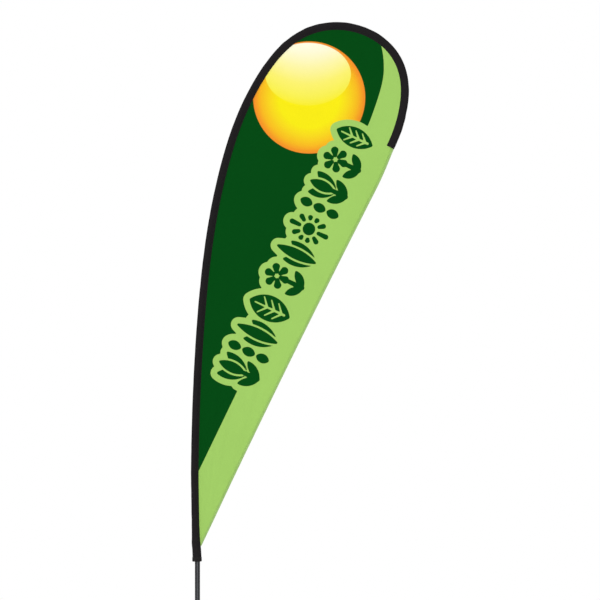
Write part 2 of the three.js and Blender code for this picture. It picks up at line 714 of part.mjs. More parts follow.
function addHousing() {
  const seat = raceOuterRadius + slipGap;
  const shoulder = outerRaceBore + raceWall / 3;
  const lowerSeatBase = lowerRaceBase - touchGap;
  const shoulderBase = lowerRaceBase + raceHeight + touchGap;
  const shoulderTop = upperRaceBase - touchGap;
  const plugBore = plugRadius + slipGap;
  const chamfer = 2;
  const body = turned([
    [housingSkirtRadius, housingBase], [housingRadius - chamfer, housingBase],
    [housingRadius, housingBase + chamfer], [housingRadius, housingTop], [plugBore, housingTop],
    [plugBore, plugBase], [seat, plugBase], [seat, shoulderTop], [shoulder, shoulderTop],
    [shoulder, shoulderBase], [seat, shoulderBase], [seat, lowerSeatBase],
    [housingSkirtRadius, lowerSeatBase], [housingSkirtRadius, housingBase],
  ]);
  const screwHeight = housingTop - housingTopWall / 2;
  const around = (radius, from, to, i) => rod(radius, from, to, 10)
    .rotateY(Math.PI / 2).translate(0, 0, screwHeight).rotateZ((i / setScrewCount) * 2 * Math.PI);
  const holes = [];
  for (let i = 0; i < setScrewCount; i += 1) {
    holes.push(around(setScrewRadius + slipGap, plugRadius - 1, housingRadius + 5, i));
    const screw = around(setScrewRadius, plugBore + setScrewTip, housingRadius - setScrewSink, i);
    piece(`set_screw_${i + 1}`, screw, finishes.zinc);
  }
  piece('bearing_housing', cut(body, ...holes), finishes.turned);
  const sealTop = lowerSeatBase - touchGap;
  piece('dust_seal', ring(sealInnerRadius, housingSkirtRadius - slipGap, sealTop - sealHeight, sealTop),
    finishes.rubber);
}

function addSpindle() {
  const groove = spindleRadius - grooveDepth;
  const profile = [
    [0, housingTop - plugDrop], [plugRadius, housingTop - plugDrop], [plugRadius, flangeBase],
    [housingRadius, flangeBase], [housingRadius, seatBase - 1], [housingRadius - 1, seatBase],
    [seatRadius, seatBase], [seatRadius - 1, spindleBase], [spindleRadius, spindleBase],
  ];
  grooveShares.forEach((share, i) => {
    const base = spindleBase + share * spindleLength;
    profile.push([spindleRadius, base], [groove, base], [groove, base + grooveHeight],
      [spindleRadius, base + grooveHeight]);
    const tube = (spindleRadius + ringProud - groove - slipGap) / 2;
    const middle = base + grooveHeight / 2;
    const section = [];
    for (let k = 0; k < 6; k += 1) {
      const turn = (k / 6) * 2 * Math.PI;
      section.push([groove + slipGap + tube + tube * Math.cos(turn), middle + tube * Math.sin(turn)]);
    }
    section.push(section[0]);
    piece(`o_ring_${i + 1}`, turned(section), finishes.rubber);
  });
  profile.push([spindleRadius, spindleTop - spindleLead], [spindleRadius * 0.6, spindleTop], [0, spindleTop]);
  piece('spindle', turned(profile), finishes.turned);
}

addLeg('upper_leg', upperLegLength, upperLegUnderside, upperFootHeight, legSpread, [1, 2]);
addLeg('lower_leg', lowerLegLength, legUnderside, lowerFootHeight, legSpread + 90, [3, 4]);
addPivot();
addBearings();
addHousing();
addSpindle();
addPole();
addSleeve();
addSail();
addStrap();

export default flag;
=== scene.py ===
import math

import bmesh
import bpy
import numpy as np
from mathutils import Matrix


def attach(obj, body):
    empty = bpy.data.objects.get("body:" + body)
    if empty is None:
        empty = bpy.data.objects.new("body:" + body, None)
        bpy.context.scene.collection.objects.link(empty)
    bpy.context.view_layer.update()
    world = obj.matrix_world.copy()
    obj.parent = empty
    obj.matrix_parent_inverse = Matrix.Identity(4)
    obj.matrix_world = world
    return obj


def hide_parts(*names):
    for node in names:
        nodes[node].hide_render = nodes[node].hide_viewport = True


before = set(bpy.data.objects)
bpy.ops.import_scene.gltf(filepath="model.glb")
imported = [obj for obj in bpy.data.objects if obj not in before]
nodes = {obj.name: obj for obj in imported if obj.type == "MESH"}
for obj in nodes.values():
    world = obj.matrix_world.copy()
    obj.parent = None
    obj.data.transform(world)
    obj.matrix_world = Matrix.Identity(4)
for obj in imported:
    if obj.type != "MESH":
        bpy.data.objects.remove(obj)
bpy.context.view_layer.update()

scene = bpy.context.scene
print("frame loaded:", len(nodes), "nodes")


def smooth(value, low, high):
    # 0 below low, 1 above high, 3t^2 - 2t^3 between them
    t = np.clip((value - low) / (high - low), 0, 1)
    return t * t * (3 - 2 * t)


def addPiece(name, vertices, faces, material, body, stands=(), corners=None, weld=True):
    # vertices and faces as they come; corners holds one cloth coordinate for each face corner
    mesh = bpy.data.meshes.new(name)
    mesh.from_pydata(np.asarray(vertices).reshape(-1, 3).tolist(), [], faces)
    if corners is not None:
        mesh.uv_layers.new(name="cloth").data.foreach_set("uv", np.asarray(corners, np.float32).ravel())
    if weld:
        shape = bmesh.new()
        shape.from_mesh(mesh)
        bmesh.ops.remove_doubles(shape, verts=shape.verts, dist=1e-6)
        bmesh.ops.recalc_face_normals(shape, faces=shape.faces)
        shape.to_mesh(mesh)
        shape.free()
    mesh.polygons.foreach_set("use_smooth", np.ones(len(mesh.polygons), bool))
    mesh.materials.append(material)
    piece = bpy.data.objects.new(name, mesh)
    scene.collection.objects.link(piece)
    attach(piece, body)
    if stands:
        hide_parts(*stands)
    return piece


def gridFaces(rows, columns, loopRows=False, loopColumns=False):
    # quads between neighbouring rows and columns, closing on the first where a direction loops
    number = np.arange(rows * columns).reshape(rows, columns)
    if loopColumns:
        number = np.hstack([number, number[:, :1]])
    if loopRows:
        number = np.vstack([number, number[:1]])
    return np.stack([number[:-1, :-1], number[:-1, 1:], number[1:, 1:], number[1:, :-1]], -1).reshape(-1, 4)


def addSurface(name, grid, material, body, stands=(), cloth=None, loopRows=False, loopColumns=False):
    # grid[row, column] is a point; cloth, one row and column longer where it loops, its place on the cloth
    faces = gridFaces(*grid.shape[:2], loopRows, loopColumns)
    corners = None
    if cloth is not None:
        corners = np.stack([cloth[:-1, :-1], cloth[:-1, 1:], cloth[1:, 1:], cloth[1:, :-1]], 2)
    return addPiece(name, grid, faces.tolist(), material, body, stands, corners)


def softened(profile, radius, closed=False):
    # each corner becomes a short parabola, with one more point just outside it to hold the flats flat
    profile = np.array(profile, float)
    back = np.roll(profile, 1, 0) - profile
    ahead = np.roll(profile, -1, 0) - profile
    backLength = np.linalg.norm(back, axis=1, keepdims=True)
    aheadLength = np.linalg.norm(ahead, axis=1, keepdims=True)
    reach = np.minimum(radius, 0.3 * np.minimum(backLength, aheadLength))
    start = profile + back / backLength * reach
    end = profile + ahead / aheadLength * reach
    t = np.linspace(0, 1, 5)[None, :, None]
    curve = (1 - t) ** 2 * start[:, None] + 2 * t * (1 - t) * profile[:, None] + t ** 2 * end[:, None]
    before = (profile + back / backLength * reach * 1.5)[:, None]
    after = (profile + ahead / aheadLength * reach * 1.5)[:, None]
    rounded = np.concatenate([before, curve, after], 1)
    if closed:
        return rounded.reshape(-1, 2)
    return np.vstack([profile[:1], rounded[1:-1].reshape(-1, 2), profile[-1:]])


def lathed(profile, centre=(0, 0, 0), sides=72, axis="z"):
    # (radius, height) turned about an axis through centre: radius cos a, radius sin a, height
    turn = np.linspace(0, 2 * np.pi, sides, endpoint=False)
    radius, height = profile[:, :1], profile[:, 1:] + np.zeros((1, sides))
    around = [radius * np.cos(turn), radius * np.sin(turn), height]
    order = {"z": (0, 1, 2), "y": (1, 2, 0), "x": (2, 0, 1)}[axis]
    return np.stack([around[i] for i in order], -1) + np.array(centre)


def addLathe(name, profile, material, body, slot, stands=(), edge=0.0004, closed=False, **place):
    # the profile with its corners softened, turned about its axis
    grid = lathed(softened(profile, edge, closed), **place)
    return addSurface(name, grid, material, body, stands, loopRows=closed, loopColumns=True)


bow = {
    "foot": 0.480,  # height at which it starts to bend
    "length": 3.262,  # from there to the end of the sleeve
    "leans": [  # share of the length, degrees from upright
        (0, 0), (0.03, -3), (0.15, 1.5), (0.3, 3.5), (0.45, 9.5), (0.6, 23.5),
        (0.7, 45.5), (0.77, 84.5), (0.84, 124.5), (0.92, 179), (1, 206.5),
    ],
    "steps": 6000,
}


def through(stations, place):
    # a cubic between stations, with slopes that weigh the two chords that meet there
    at, value = np.array(stations).T
    gap = np.diff(at)
    chord = np.diff(value) / gap
    inner = (chord[:-1] * gap[1:] + chord[1:] * gap[:-1]) / (gap[:-1] + gap[1:])
    slope = np.concatenate([[0], inner, chord[-1:]])
    place = np.clip(place, at[0], at[-1])
    i = np.clip(np.searchsorted(at, place, side="right") - 1, 0, len(gap) - 1)
    t = (place - at[i]) / gap[i]
    found = (2 * t ** 3 - 3 * t ** 2 + 1) * value[i] + (t ** 3 - 2 * t ** 2 + t) * gap[i] * slope[i]
    found += (3 * t ** 2 - 2 * t ** 3) * value[i + 1] + (t ** 3 - t ** 2) * gap[i] * slope[i + 1]
    return found


# the bow is walked in small steps: x and z are running sums of the lean's sin and cos
walkArc = np.linspace(0, bow["length"], bow["steps"] + 1)
walkLean = np.radians(through(bow["leans"], walkArc / bow["length"]))
walkMiddle = (walkLean[1:] + walkLean[:-1]) / 2
walkStep = bow["length"] / bow["steps"]
walkX = np.concatenate([[0], np.cumsum(np.sin(walkMiddle)) * walkStep])
walkZ = bow["foot"] + np.concatenate([[0], np.cumsum(np.cos(walkMiddle)) * walkStep])


def offBow(arc, across, depth=0.0):
    # a point off the bow: across is square to the pole, towards the sail; below its foot the pole is straight
    arc = np.asarray(arc, float)
    lean = np.interp(arc, walkArc, walkLean)
    x = np.interp(arc, walkArc, walkX) + across * np.cos(lean)
    z = np.interp(arc, walkArc, walkZ) + np.minimum(arc, 0) - across * np.sin(lean)
    return np.stack(np.broadcast_arrays(x, depth, z), -1)


def poleProfile(start, end, outer, inner, edge, rows):
    # arcs and radii of a tube, out along its outside and back along its bore, or of a rod where inner is None
    arcs = np.concatenate([[start], np.linspace(start + edge, end - edge, rows), [end]])
    chamfer = np.concatenate([[edge], np.zeros(rows), [edge]])
    outside = outer(arcs) if callable(outer) else np.full(len(arcs), outer)
    if inner is None:
        arcs = np.concatenate([[start], arcs, [end]])
        return arcs, np.concatenate([[0], outside - chamfer, [0]])
    return np.concatenate([arcs, arcs[::-1]]), np.concatenate([outside - chamfer, inner + chamfer])


def addOnBow(name, start, end, outer, inner, material, stands, edge=0.0003, sides=32, spacing=0.02):
    # a circle of radius r(arc) carried along the bow
    rows = max(4, int((end - start) / spacing))
    arcs, radii = poleProfile(start, end, outer, inner, edge, rows)
    turn = np.linspace(0, 2 * np.pi, sides, endpoint=False)
    grid = offBow(arcs[:, None], radii[:, None] * np.cos(turn), radii[:, None] * np.sin(turn))
    return addSurface(name, grid, material, "pole_and_sail", stands,
                      loopRows=inner is not None, loopColumns=True)


def fill(tree, made, values):
    # a socket is linked, and any other value is set
    for key, value in values.items():
        if isinstance(value, bpy.types.NodeSocket):
            tree.links.new(value, made.inputs[key])
        else:
            made.inputs[key].default_value = value
    return made


def addNode(tree, kind, values=None, **settings):
    made = tree.nodes.new("ShaderNode" + kind)
    for key, value in settings.items():
        setattr(made, key, value)
    return fill(tree, made, values or {})


def calc(tree, operation, a, b=0.0, c=0.0, clamp=False):
    return addNode(tree, "Math", {0: a, 1: b, 2: c}, operation=operation, use_clamp=clamp).outputs[0]


def ramp(tree, value, low, high, bottom=0.0, top=1.0, soft=True):
    kind = "SMOOTHSTEP" if soft else "LINEAR"
    values = {"Value": value, "From Min": low, "From Max": high, "To Min": bottom, "To Max": top}
    return addNode(tree, "MapRange", values, interpolation_type=kind).outputs[0]


def blendColor(tree, factor, a, b, kind="MIX"):
    return addNode(tree, "Mix", {0: factor, 6: a, 7: b}, data_type="RGBA", blend_type=kind).outputs[2]


def noiseAt(tree, place, scale, detail=3.0):
    return addNode(tree, "TexNoise", {"Vector": place, "Scale": scale, "Detail": detail}).outputs["Fac"]


def shadedColor(tree, color, factor):
    # a colour times a factor that changes over the surface
    grey = addNode(tree, "CombineColor", {0: factor, 1: factor, 2: factor}).outputs[0]
    return blendColor(tree, 1.0, color, grey, "MULTIPLY")


def makeGroup(name, inputs, outputs):
    # inputs are (label, kind, value) and outputs (label, kind)
    group = bpy.data.node_groups.new(name, "ShaderNodeTree")
    for label, kind, value in inputs:
        socket = group.interface.new_socket(name=label, in_out="INPUT", socket_type="NodeSocket" + kind)
        if value is not None:
            socket.default_value = value
    for label, kind in outputs:
        group.interface.new_socket(name=label, in_out="OUTPUT", socket_type="NodeSocket" + kind)
    return group, group.nodes.new("NodeGroupInput").outputs, group.nodes.new("NodeGroupOutput").inputs


def makeWeave():
    # plain weave: sin x sin y lifts one thread over the next, and slow noise makes some threads thicker; the
    # Shade output is painted light and shade that follows this relief, lighter on raised and thick threads and
    # darker where they dip
    group, given, result = makeGroup(
        "plainWeave", [("Cloth", "Vector", None), ("Pitch", "Float", 0.001), ("Slub", "Float", 0.3)],
        [("Height", "Float"), ("Shade", "Float")])
    scale = calc(group, "DIVIDE", 2 * math.pi, given["Pitch"])
    threads = addNode(group, "VectorMath", {0: given["Cloth"], "Scale": scale}, operation="SCALE").outputs[0]
    part = addNode(group, "SeparateXYZ", {0: threads}).outputs
    over = calc(group, "MULTIPLY", calc(group, "SINE", part[0]), calc(group, "SINE", part[1]))
    slub = noiseAt(group, threads, 0.09, 2.0)
    uneven = calc(group, "MULTIPLY", calc(group, "SUBTRACT", slub, 0.5), given["Slub"])
    height = calc(group, "MULTIPLY_ADD", over, 0.5, 0.5)
    group.links.new(calc(group, "ADD", height, uneven), result["Height"])
    # painted shade of the weave: the colour factor rises and falls with the thread height
    shade = calc(group, "MULTIPLY_ADD", over, 0.05, 1.0)
    group.links.new(calc(group, "MULTIPLY_ADD", uneven, 0.25, shade), result["Shade"])
    return group


def makeMottle():
    # a factor round 1, from noise of a given size
    group, given, result = makeGroup(
        "mottle", [("Place", "Vector", None), ("Size", "Float", 0.1), ("Depth", "Float", 0.1)],
        [("Factor", "Float")])
    scale = calc(group, "DIVIDE", 1.0, given["Size"])
    noise = noiseAt(group, given["Place"], scale, 4.0)
    swing = calc(group, "MULTIPLY", calc(group, "SUBTRACT", noise, 0.5), given["Depth"])
    group.links.new(calc(group, "ADD", swing, 1.0), result["Factor"])
    return group


def makeScuffs():
    # rubbed streaks: the peaks of noise drawn out along one axis, kept only in coarse patches
    group, given, result = makeGroup(
        "scuffs", [("Place", "Vector", None), ("Stretch", "Vector", (1, 1, 0.1)), ("Size", "Float", 0.001),
                   ("Amount", "Float", 0.3)],
        [("Mask", "Float")])
    drawn = addNode(group, "VectorMath", {0: given["Place"], 1: given["Stretch"]}, operation="MULTIPLY")
    scale = calc(group, "DIVIDE", 1.0, given["Size"])
    fine = noiseAt(group, drawn.outputs[0], scale)
    coarse = noiseAt(group, given["Place"], 22.0)
    kept = calc(group, "MULTIPLY", ramp(group, fine, 0.6, 0.7), ramp(group, coarse, 0.5, 0.66))
    group.links.new(calc(group, "MULTIPLY", kept, given["Amount"]), result["Mask"])
    return group


def makeGroundDust():
    # dust that thins out with height above the ground, broken up by noise
    group, given, result = makeGroup(
        "groundDust", [("Place", "Vector", None), ("Reach", "Float", 0.1), ("Amount", "Float", 0.4)],
        [("Mask", "Float")])
    height = addNode(group, "SeparateXYZ", {0: given["Place"]}).outputs[2]
    low = calc(group, "SUBTRACT", 1.0, calc(group, "DIVIDE", height, given["Reach"]), clamp=True)
    broken = ramp(group, noiseAt(group, given["Place"], 90.0, 8.0), 0.3, 0.75)
    settled = calc(group, "MULTIPLY", low, broken)
    group.links.new(calc(group, "MULTIPLY", settled, given["Amount"]), result["Mask"])
    return group


def makeToolMarks():
    # rings left by a cutting tool: noise that changes fast along one axis only
    group, given, result = makeGroup(
        "toolMarks", [("Place", "Vector", None), ("Pitch", "Float", 0.0006)], [("Height", "Float")])
    along = addNode(group, "SeparateXYZ", {0: given["Place"]}).outputs[2]
    place = calc(group, "DIVIDE", along, given["Pitch"])
    noise = addNode(group, "TexNoise", {"W": place, "Scale": 1.0, "Detail": 3.0}, noise_dimensions="1D")
    group.links.new(noise.outputs["Fac"], result["Height"])
    return group


plainWeave = makeWeave()
mottle = makeMottle()
scuffs = makeScuffs()
groundDust = makeGroundDust()
toolMarks = makeToolMarks()
print("node groups made")


def placed(tree, group, values):
    made = tree.nodes.new("ShaderNodeGroup")
    made.node_tree = group
    return fill(tree, made, values).outputs


def linear(red, green, blue):
    # a screen colour, 0 to 255, as scene-linear RGBA
    share = np.array([red, green, blue]) / 255
    value = np.where(share <= 0.04045, share / 12.92, ((share + 0.055) / 1.055) ** 2.4)
    return (*value.tolist(), 1.0)


def startMaterial(name, **sockets):
    # the shader's own sockets hold whatever is the same all over
    material = bpy.data.materials.new(name)
    material.use_nodes = True
    shader = material.node_tree.nodes["Principled BSDF"]
    for label, value in sockets.items():
        shader.inputs[label.replace("_", " ")].default_value = value
    return material, material.node_tree, shader


def objectPlace(tree):
    return addNode(tree, "TexCoord").outputs["Object"]


def clothPlace(tree):
    return addNode(tree, "UVMap", uv_map="cloth").outputs[0]


def wireBump(tree, shader, height, distance, strength=1.0):
    made = addNode(tree, "Bump", {"Height": height, "Distance": distance, "Strength": strength})
    tree.links.new(made.outputs[0], shader.inputs["Normal"])


def readAttribute(tree, name):
    return addNode(tree, "Attribute", attribute_name=name).outputs["Fac"]


printed = {
    "darkGreen": (0, 72, 17),
    "lightGreen": (162, 206, 103),
    "bleed": 0.0007,  # how far a dye edge spreads
    "rowFoot": (0.018, 0.550),  # where the row's line starts, x and z
    "rowLean": 25.74,  # degrees from upright
    "bandEdge": [(-1, 0.154), (0.9, 0.154), (1.944, 0.143), (2.056, 0.155), (2.136, 0.169), (2.194, 0.191),
                 (2.264, 0.235), (2.33, 0.30)],  # along the row, distance from it
    "haloWidth": 0.027,
    "vein": 0.0052,
    "leafGap": 0.008,
    "stalk": (0.0115, 0.009),  # radius at its foot and at its top
    "sideLeaf": 0.036,
    "markFoot": 0.088,
    "markTops": [(0.70, 0.280), (1.1, 0.277), (1.5, 0.268), (2.0, 0.254)],  # along the row, height
    "marks": [  # kind, and where along the row it starts and ends
        ("tulip", 0.700, 0.804), ("buds", 0.822, 0.862), ("fan", 0.884, 0.972), ("leaf", 0.990, 1.106),
        ("bloom", 1.128, 1.246), ("fan", 1.264, 1.350), ("sun", 1.368, 1.486), ("buds", 1.508, 1.548),
        ("tulip", 1.568, 1.668), ("bloom", 1.686, 1.802), ("leaf", 1.818, 1.910),
    ],
    "backPaleness": 0.035,
    "backColor": (196, 206, 190),
    "ballCentre": (0.4778, 2.4755),
    "ballRadius": 0.2397,
    "ballShades": [(0.0, (248, 235, 22)), (0.54, (247, 234, 20)), (0.70, (246, 214, 30)),
                   (0.86, (246, 185, 33)), (0.95, (243, 154, 38)), (1.0, (240, 138, 42))],
    "glossBow": 1.9,  # how much lower, for each square metre off its middle line, a shade lies
    "glossCentre": (0.473, 2.575),
    "glossSize": (0.184, 0.135),
    "glossShades": [(0.0, (248, 236, 44)), (0.12, (246, 238, 80)), (0.35, (249, 240, 112)),
                    (0.6, (251, 244, 165)), (0.85, (253, 249, 214)), (1.0, (254, 252, 228))],
}


def leafDistance(point, start, end, width, tip=0.005):
    # a lens between two arcs: the distance to the nearer arc, or to the end where they meet, less tip
    start, end = np.array(start), np.array(end)
    length = np.linalg.norm(end - start)
    along = (end - start) / length
    offset = point - (start + end) / 2
    x = np.abs(offset @ np.array([-along[1], along[0]]))
    y = np.abs(offset @ along)
    half, wide = length / 2 - tip, width / 2 - tip
    shift = (half ** 2 - wide ** 2) / (2 * wide)
    beyond = (y - half) * shift > x * half
    return np.where(beyond, np.hypot(x, y - half), np.hypot(x + shift, y) - shift - wide) - tip


def dropDistance(point, start, end, startRadius, endRadius):
    # the distance to a line, less a radius that changes evenly along it
    start, end = np.array(start), np.array(end)
    run = end - start
    t = np.clip(((point - start) @ run) / (run @ run), 0, 1)
    away = np.linalg.norm(point - start - t[..., None] * run, axis=-1)
    return away - startRadius - t * (endRadius - startRadius)


def without(shape, cut):
    # what lies in the shape and outside the cut
    return np.maximum(shape, -cut)


def markDistance(kind, point, middle, width, foot, top):
    # plain ornaments: x is a share of half the width from the middle, y a share of the height
    half, height = width / 2, top - foot
    vein, gap = printed["vein"], printed["leafGap"]

    def at(x, y):
        return np.array([middle + x * half, foot + y * height])

    if kind == "tulip":
        petal = leafDistance(point, at(0, 0.36), at(0, 1), 0.046)
        found = [petal, dropDistance(point, at(0, 0.06), at(0, 0.45), *printed["stalk"])]
        for side in (-1, 1):
            outer = leafDistance(point, at(side * 0.12, 0.33), at(side * 0.96, 0.93), 0.047)
            found.append(without(outer, petal - gap))
            found.append(leafDistance(point, at(side * 0.05, 0.02), at(side, 0.42), printed["sideLeaf"]))
        return np.min(found, 0)
    if kind == "buds":
        feet = (0, 0.345, 0.69)
        return np.min([leafDistance(point, at(0, y), at(0, y + 0.31), 0.040, 0.009) for y in feet], 0)
    if kind == "fan":
        blade = leafDistance(point, at(0, 0.0), at(0, 1), 0.046)
        found = [blade]
        for side in (-1, 1):
            outer = leafDistance(point, at(side * 0.10, 0.02), at(side * 0.98, 0.74), 0.050)
            found.append(without(outer, blade - gap))
        return np.min(found, 0)
    if kind == "bloom":
        centre = at(0, 0.68)
        found = [dropDistance(point, at(0, 0.05), at(0, 0.5), *printed["stalk"])]
        for side in (-1, 1):
            leaf = leafDistance(point, at(side * 0.05, 0.02), at(side * 0.92, 0.34), printed["sideLeaf"])
            found.append(leaf)
        for turn in np.radians(np.arange(0, 360, 60)):
            way = np.array([np.sin(turn), np.cos(turn)])
            found.append(dropDistance(point, centre + way * 0.018, centre + way * 0.039, 0.009, 0.0165))
        return without(np.min(found, 0), np.linalg.norm(point - centre, axis=-1) - 0.0085)
    if kind == "leaf":
        blade = leafDistance(point, at(0, 0), at(0, 1), width * 0.94)
        cuts = [dropDistance(point, at(0, 0.14), at(0, 0.86), vein, vein * 0.6)]
        for side in (-1, 1):
            for y in (0.20, 0.38, 0.56):
                cuts.append(dropDistance(point, at(0, y), at(side * 0.62, y + 0.16), vein * 0.9, vein * 0.5))
        return without(blade, np.min(cuts, 0))
    centre = at(0, 0.5)
    found = [np.linalg.norm(point - centre, axis=-1) - 0.027]
    for turn in np.radians(np.arange(0, 360, 36)):
        way = np.array([np.sin(turn), np.cos(turn)])
        reach = 1 / np.hypot(way[0] / (half - 0.011), way[1] / (height / 2 - 0.011))
        found.append(dropDistance(point, centre + way * 0.045, centre + way * reach, 0.0085, 0.011))
    return np.min(found, 0)


def printPlace(flat):
    # from x and z to the distance along the row's line and away from it
    turn = math.radians(printed["rowLean"])
    x, z = flat[..., 0] - printed["rowFoot"][0], flat[..., 1] - printed["rowFoot"][1]
    return np.stack([x * math.sin(turn) + z * math.cos(turn), z * math.sin(turn) - x * math.cos(turn)], -1)


def printDistances(flat):
    # signed distances from the edges of the light ground and of the row of marks, negative inside
    spot = printPlace(flat)
    along, away = spot[..., 0], spot[..., 1]
    marks = np.full(along.shape, 1.0)
    for kind, start, end in printed["marks"]:
        middle = (start + end) / 2
        top = np.interp(middle, *np.array(printed["markTops"]).T)
        near = markDistance(kind, spot, middle, end - start, printed["markFoot"], top)
        marks = np.minimum(marks, near)
    edgeAlong, edgeAway = np.array(printed["bandEdge"]).T
    smoothEdge = np.interp(along[..., None] + np.linspace(-0.03, 0.03, 7), edgeAlong, edgeAway).mean(-1)
    light = np.minimum(away - smoothEdge, marks - printed["haloWidth"])
    return light, marks


def shadeRamp(tree, value, shades):
    made = addNode(tree, "ValToRGB", {0: value})
    stops = made.color_ramp.elements
    stops[0].position, stops[0].color = shades[0][0], linear(*shades[0][1])
    stops[1].position, stops[1].color = shades[-1][0], linear(*shades[-1][1])
    for place, color in shades[1:-1]:
        stops.new(place).color = linear(*color)
    return made.outputs[0]


def makeSailCloth():
    # the ball and its gloss from x and z, then the light ground and the marks from the mesh's own distances
    material, tree, shader = startMaterial("sailCloth", Roughness=0.85, Specular_IOR_Level=0.05,
                                           Sheen_Weight=0.02, Sheen_Roughness=0.5)
    place = objectPlace(tree)
    part = addNode(tree, "SeparateXYZ", {0: place}).outputs

    def ellipse(centre, size):
        x = calc(tree, "DIVIDE", calc(tree, "SUBTRACT", part[0], centre[0]), size[0])
        z = calc(tree, "DIVIDE", calc(tree, "SUBTRACT", part[2], centre[1]), size[1])
        squares = calc(tree, "MULTIPLY_ADD", x, x, calc(tree, "MULTIPLY", z, z))
        return calc(tree, "SQRT", squares)

    radius, bleed = printed["ballRadius"], printed["bleed"]
    fromBall = ellipse(printed["ballCentre"], (radius, radius))
    ball = shadeRamp(tree, fromBall, printed["ballShades"])
    fromGloss = ellipse(printed["glossCentre"], printed["glossSize"])
    low = printed["glossCentre"][1] - printed["glossSize"][1]
    aside = calc(tree, "SUBTRACT", part[0], printed["glossCentre"][0])
    bowed = calc(tree, "MULTIPLY_ADD", calc(tree, "MULTIPLY", aside, aside), -printed["glossBow"], part[2])
    rise = ramp(tree, bowed, low, low + 2 * printed["glossSize"][1], soft=False)
    gloss = shadeRamp(tree, rise, printed["glossShades"])
    ball = blendColor(tree, ramp(tree, fromGloss, 0.985, 1.0, 1.0, 0.0), ball, gloss)
    dark, light = linear(*printed["darkGreen"]), linear(*printed["lightGreen"])
    inBall = ramp(tree, fromBall, 1 - bleed / radius, 1 + bleed / radius, 1.0, 0.0)
    color = blendColor(tree, inBall, dark, ball)
    for edge, dye in (("lightEdge", light), ("markEdge", dark)):
        color = blendColor(tree, ramp(tree, readAttribute(tree, edge), -bleed, bleed, 1.0, 0.0), color, dye)
    pale = calc(tree, "MULTIPLY", readAttribute(tree, "backFace"), printed["backPaleness"])
    color = blendColor(tree, pale, color, linear(*printed["backColor"]))
    weave = placed(tree, plainWeave, {"Cloth": clothPlace(tree), "Pitch": 0.0011, "Slub": 0.5})
    uneven = placed(tree, mottle, {"Place": place, "Size": 0.22, "Depth": 0.07})["Factor"]
    # the weave's painted light and shade, times the mottle's random tone
    shade = calc(tree, "MULTIPLY", weave["Shade"], uneven)
    tree.links.new(shadedColor(tree, color, shade), shader.inputs["Base Color"])
    wireBump(tree, shader, weave["Height"], 0.00012, 0.7)
    return material


def makeCloth(name, color, pitch, slub, rough, sheen, depth=0.00012, dust=0.0):
    # one colour of woven cloth, on its own cloth coordinates
    material, tree, shader = startMaterial(name, Roughness=rough, Specular_IOR_Level=0.15,
                                           Sheen_Weight=sheen, Sheen_Roughness=0.4)
    place = objectPlace(tree)
    weave = placed(tree, plainWeave, {"Cloth": clothPlace(tree), "Pitch": pitch, "Slub": slub})
    uneven = placed(tree, mottle, {"Place": place, "Size": 0.05, "Depth": 0.25})["Factor"]
    # the weave's painted light and shade, times the mottle's random tone
    painted = shadedColor(tree, linear(*color), calc(tree, "MULTIPLY", weave["Shade"], uneven))
    if dust:
        mask = placed(tree, groundDust, {"Place": place, "Reach": 0.75, "Amount": dust})["Mask"]
        painted = blendColor(tree, mask, painted, linear(120, 112, 100))
    tree.links.new(painted, shader.inputs["Base Color"])
    wireBump(tree, shader, weave["Height"], depth)
    return material


def makePlain(name, color, rough, metallic=0.0, worn=None, mottleDepth=0.12, grain=None, marks=None,
              dust=0.0, scratch=0.0, stretch=(1, 1, 0.1), **sockets):
    # a moulded, painted or machined finish: colour with mottle, scuffs to a worn colour, dust, and a bump
    material, tree, shader = startMaterial(name, Metallic=metallic, **sockets)
    place = objectPlace(tree)
    uneven = placed(tree, mottle, {"Place": place, "Size": 0.03, "Depth": mottleDepth})["Factor"]
    painted = shadedColor(tree, linear(*color), uneven)
    roughness = calc(tree, "MULTIPLY", uneven, rough)
    if scratch:
        mask = placed(tree, scuffs, {"Place": place, "Stretch": stretch, "Amount": scratch})["Mask"]
        painted = blendColor(tree, mask, painted, linear(*worn))
        roughness = calc(tree, "MULTIPLY_ADD", mask, 0.25, roughness)
    if dust:
        mask = placed(tree, groundDust, {"Place": place, "Reach": 0.09, "Amount": dust})["Mask"]
        painted = blendColor(tree, mask, painted, linear(140, 136, 128))
        roughness = calc(tree, "MULTIPLY_ADD", mask, 0.4, roughness)
    tree.links.new(painted, shader.inputs["Base Color"])
    tree.links.new(calc(tree, "MINIMUM", roughness, 1.0), shader.inputs["Roughness"])
    if grain:
        size, distance = grain
        wireBump(tree, shader, noiseAt(tree, place, 1 / size), distance)
    if marks:
        pitch, distance = marks
        wireBump(tree, shader, placed(tree, toolMarks, {"Place": place, "Pitch": pitch})["Height"], distance)
    return material


sailCloth = makeSailCloth()
sleeveCloth = makeCloth("sleeveCloth", (27, 24, 26), pitch=0.0009, slub=0.6, rough=0.85, sheen=0.05,
                        dust=0.10)
cuffCloth = makeCloth("cuffCloth", (29, 27, 28), pitch=0.0009, slub=0.6, rough=0.85, sheen=0.05, dust=0.16)
webbing = makeCloth("webbing", (27, 26, 27), pitch=0.0022, slub=0.8, rough=0.75, sheen=0.1, depth=0.00035,
                    dust=0.15)
blackThread = makePlain("blackThread", (38, 36, 37), 0.7, grain=(0.0006, 0.0001), Specular_IOR_Level=0.3)
greenThread = makePlain("greenThread", (140, 178, 92), 0.7, grain=(0.0006, 0.0001), Specular_IOR_Level=0.3)
poleTube = makePlain("poleTube", (72, 73, 76), 0.24, metallic=0.8, mottleDepth=0.08, worn=(105, 106, 109),
                     scratch=0.3, grain=(0.0011, 0.00002))
fibreglass = makePlain("fibreglass", (24, 25, 28), 0.42, grain=(0.004, 0.00003))
ferruleSteel = makePlain("ferruleSteel", (186, 188, 192), 0.28, metallic=1.0, worn=(110, 110, 112),
                         scratch=0.4)
blackPlastic = makePlain("blackPlastic", (22, 22, 23), 0.5, worn=(70, 70, 72), scratch=0.4,
                         grain=(0.0012, 0.00006))
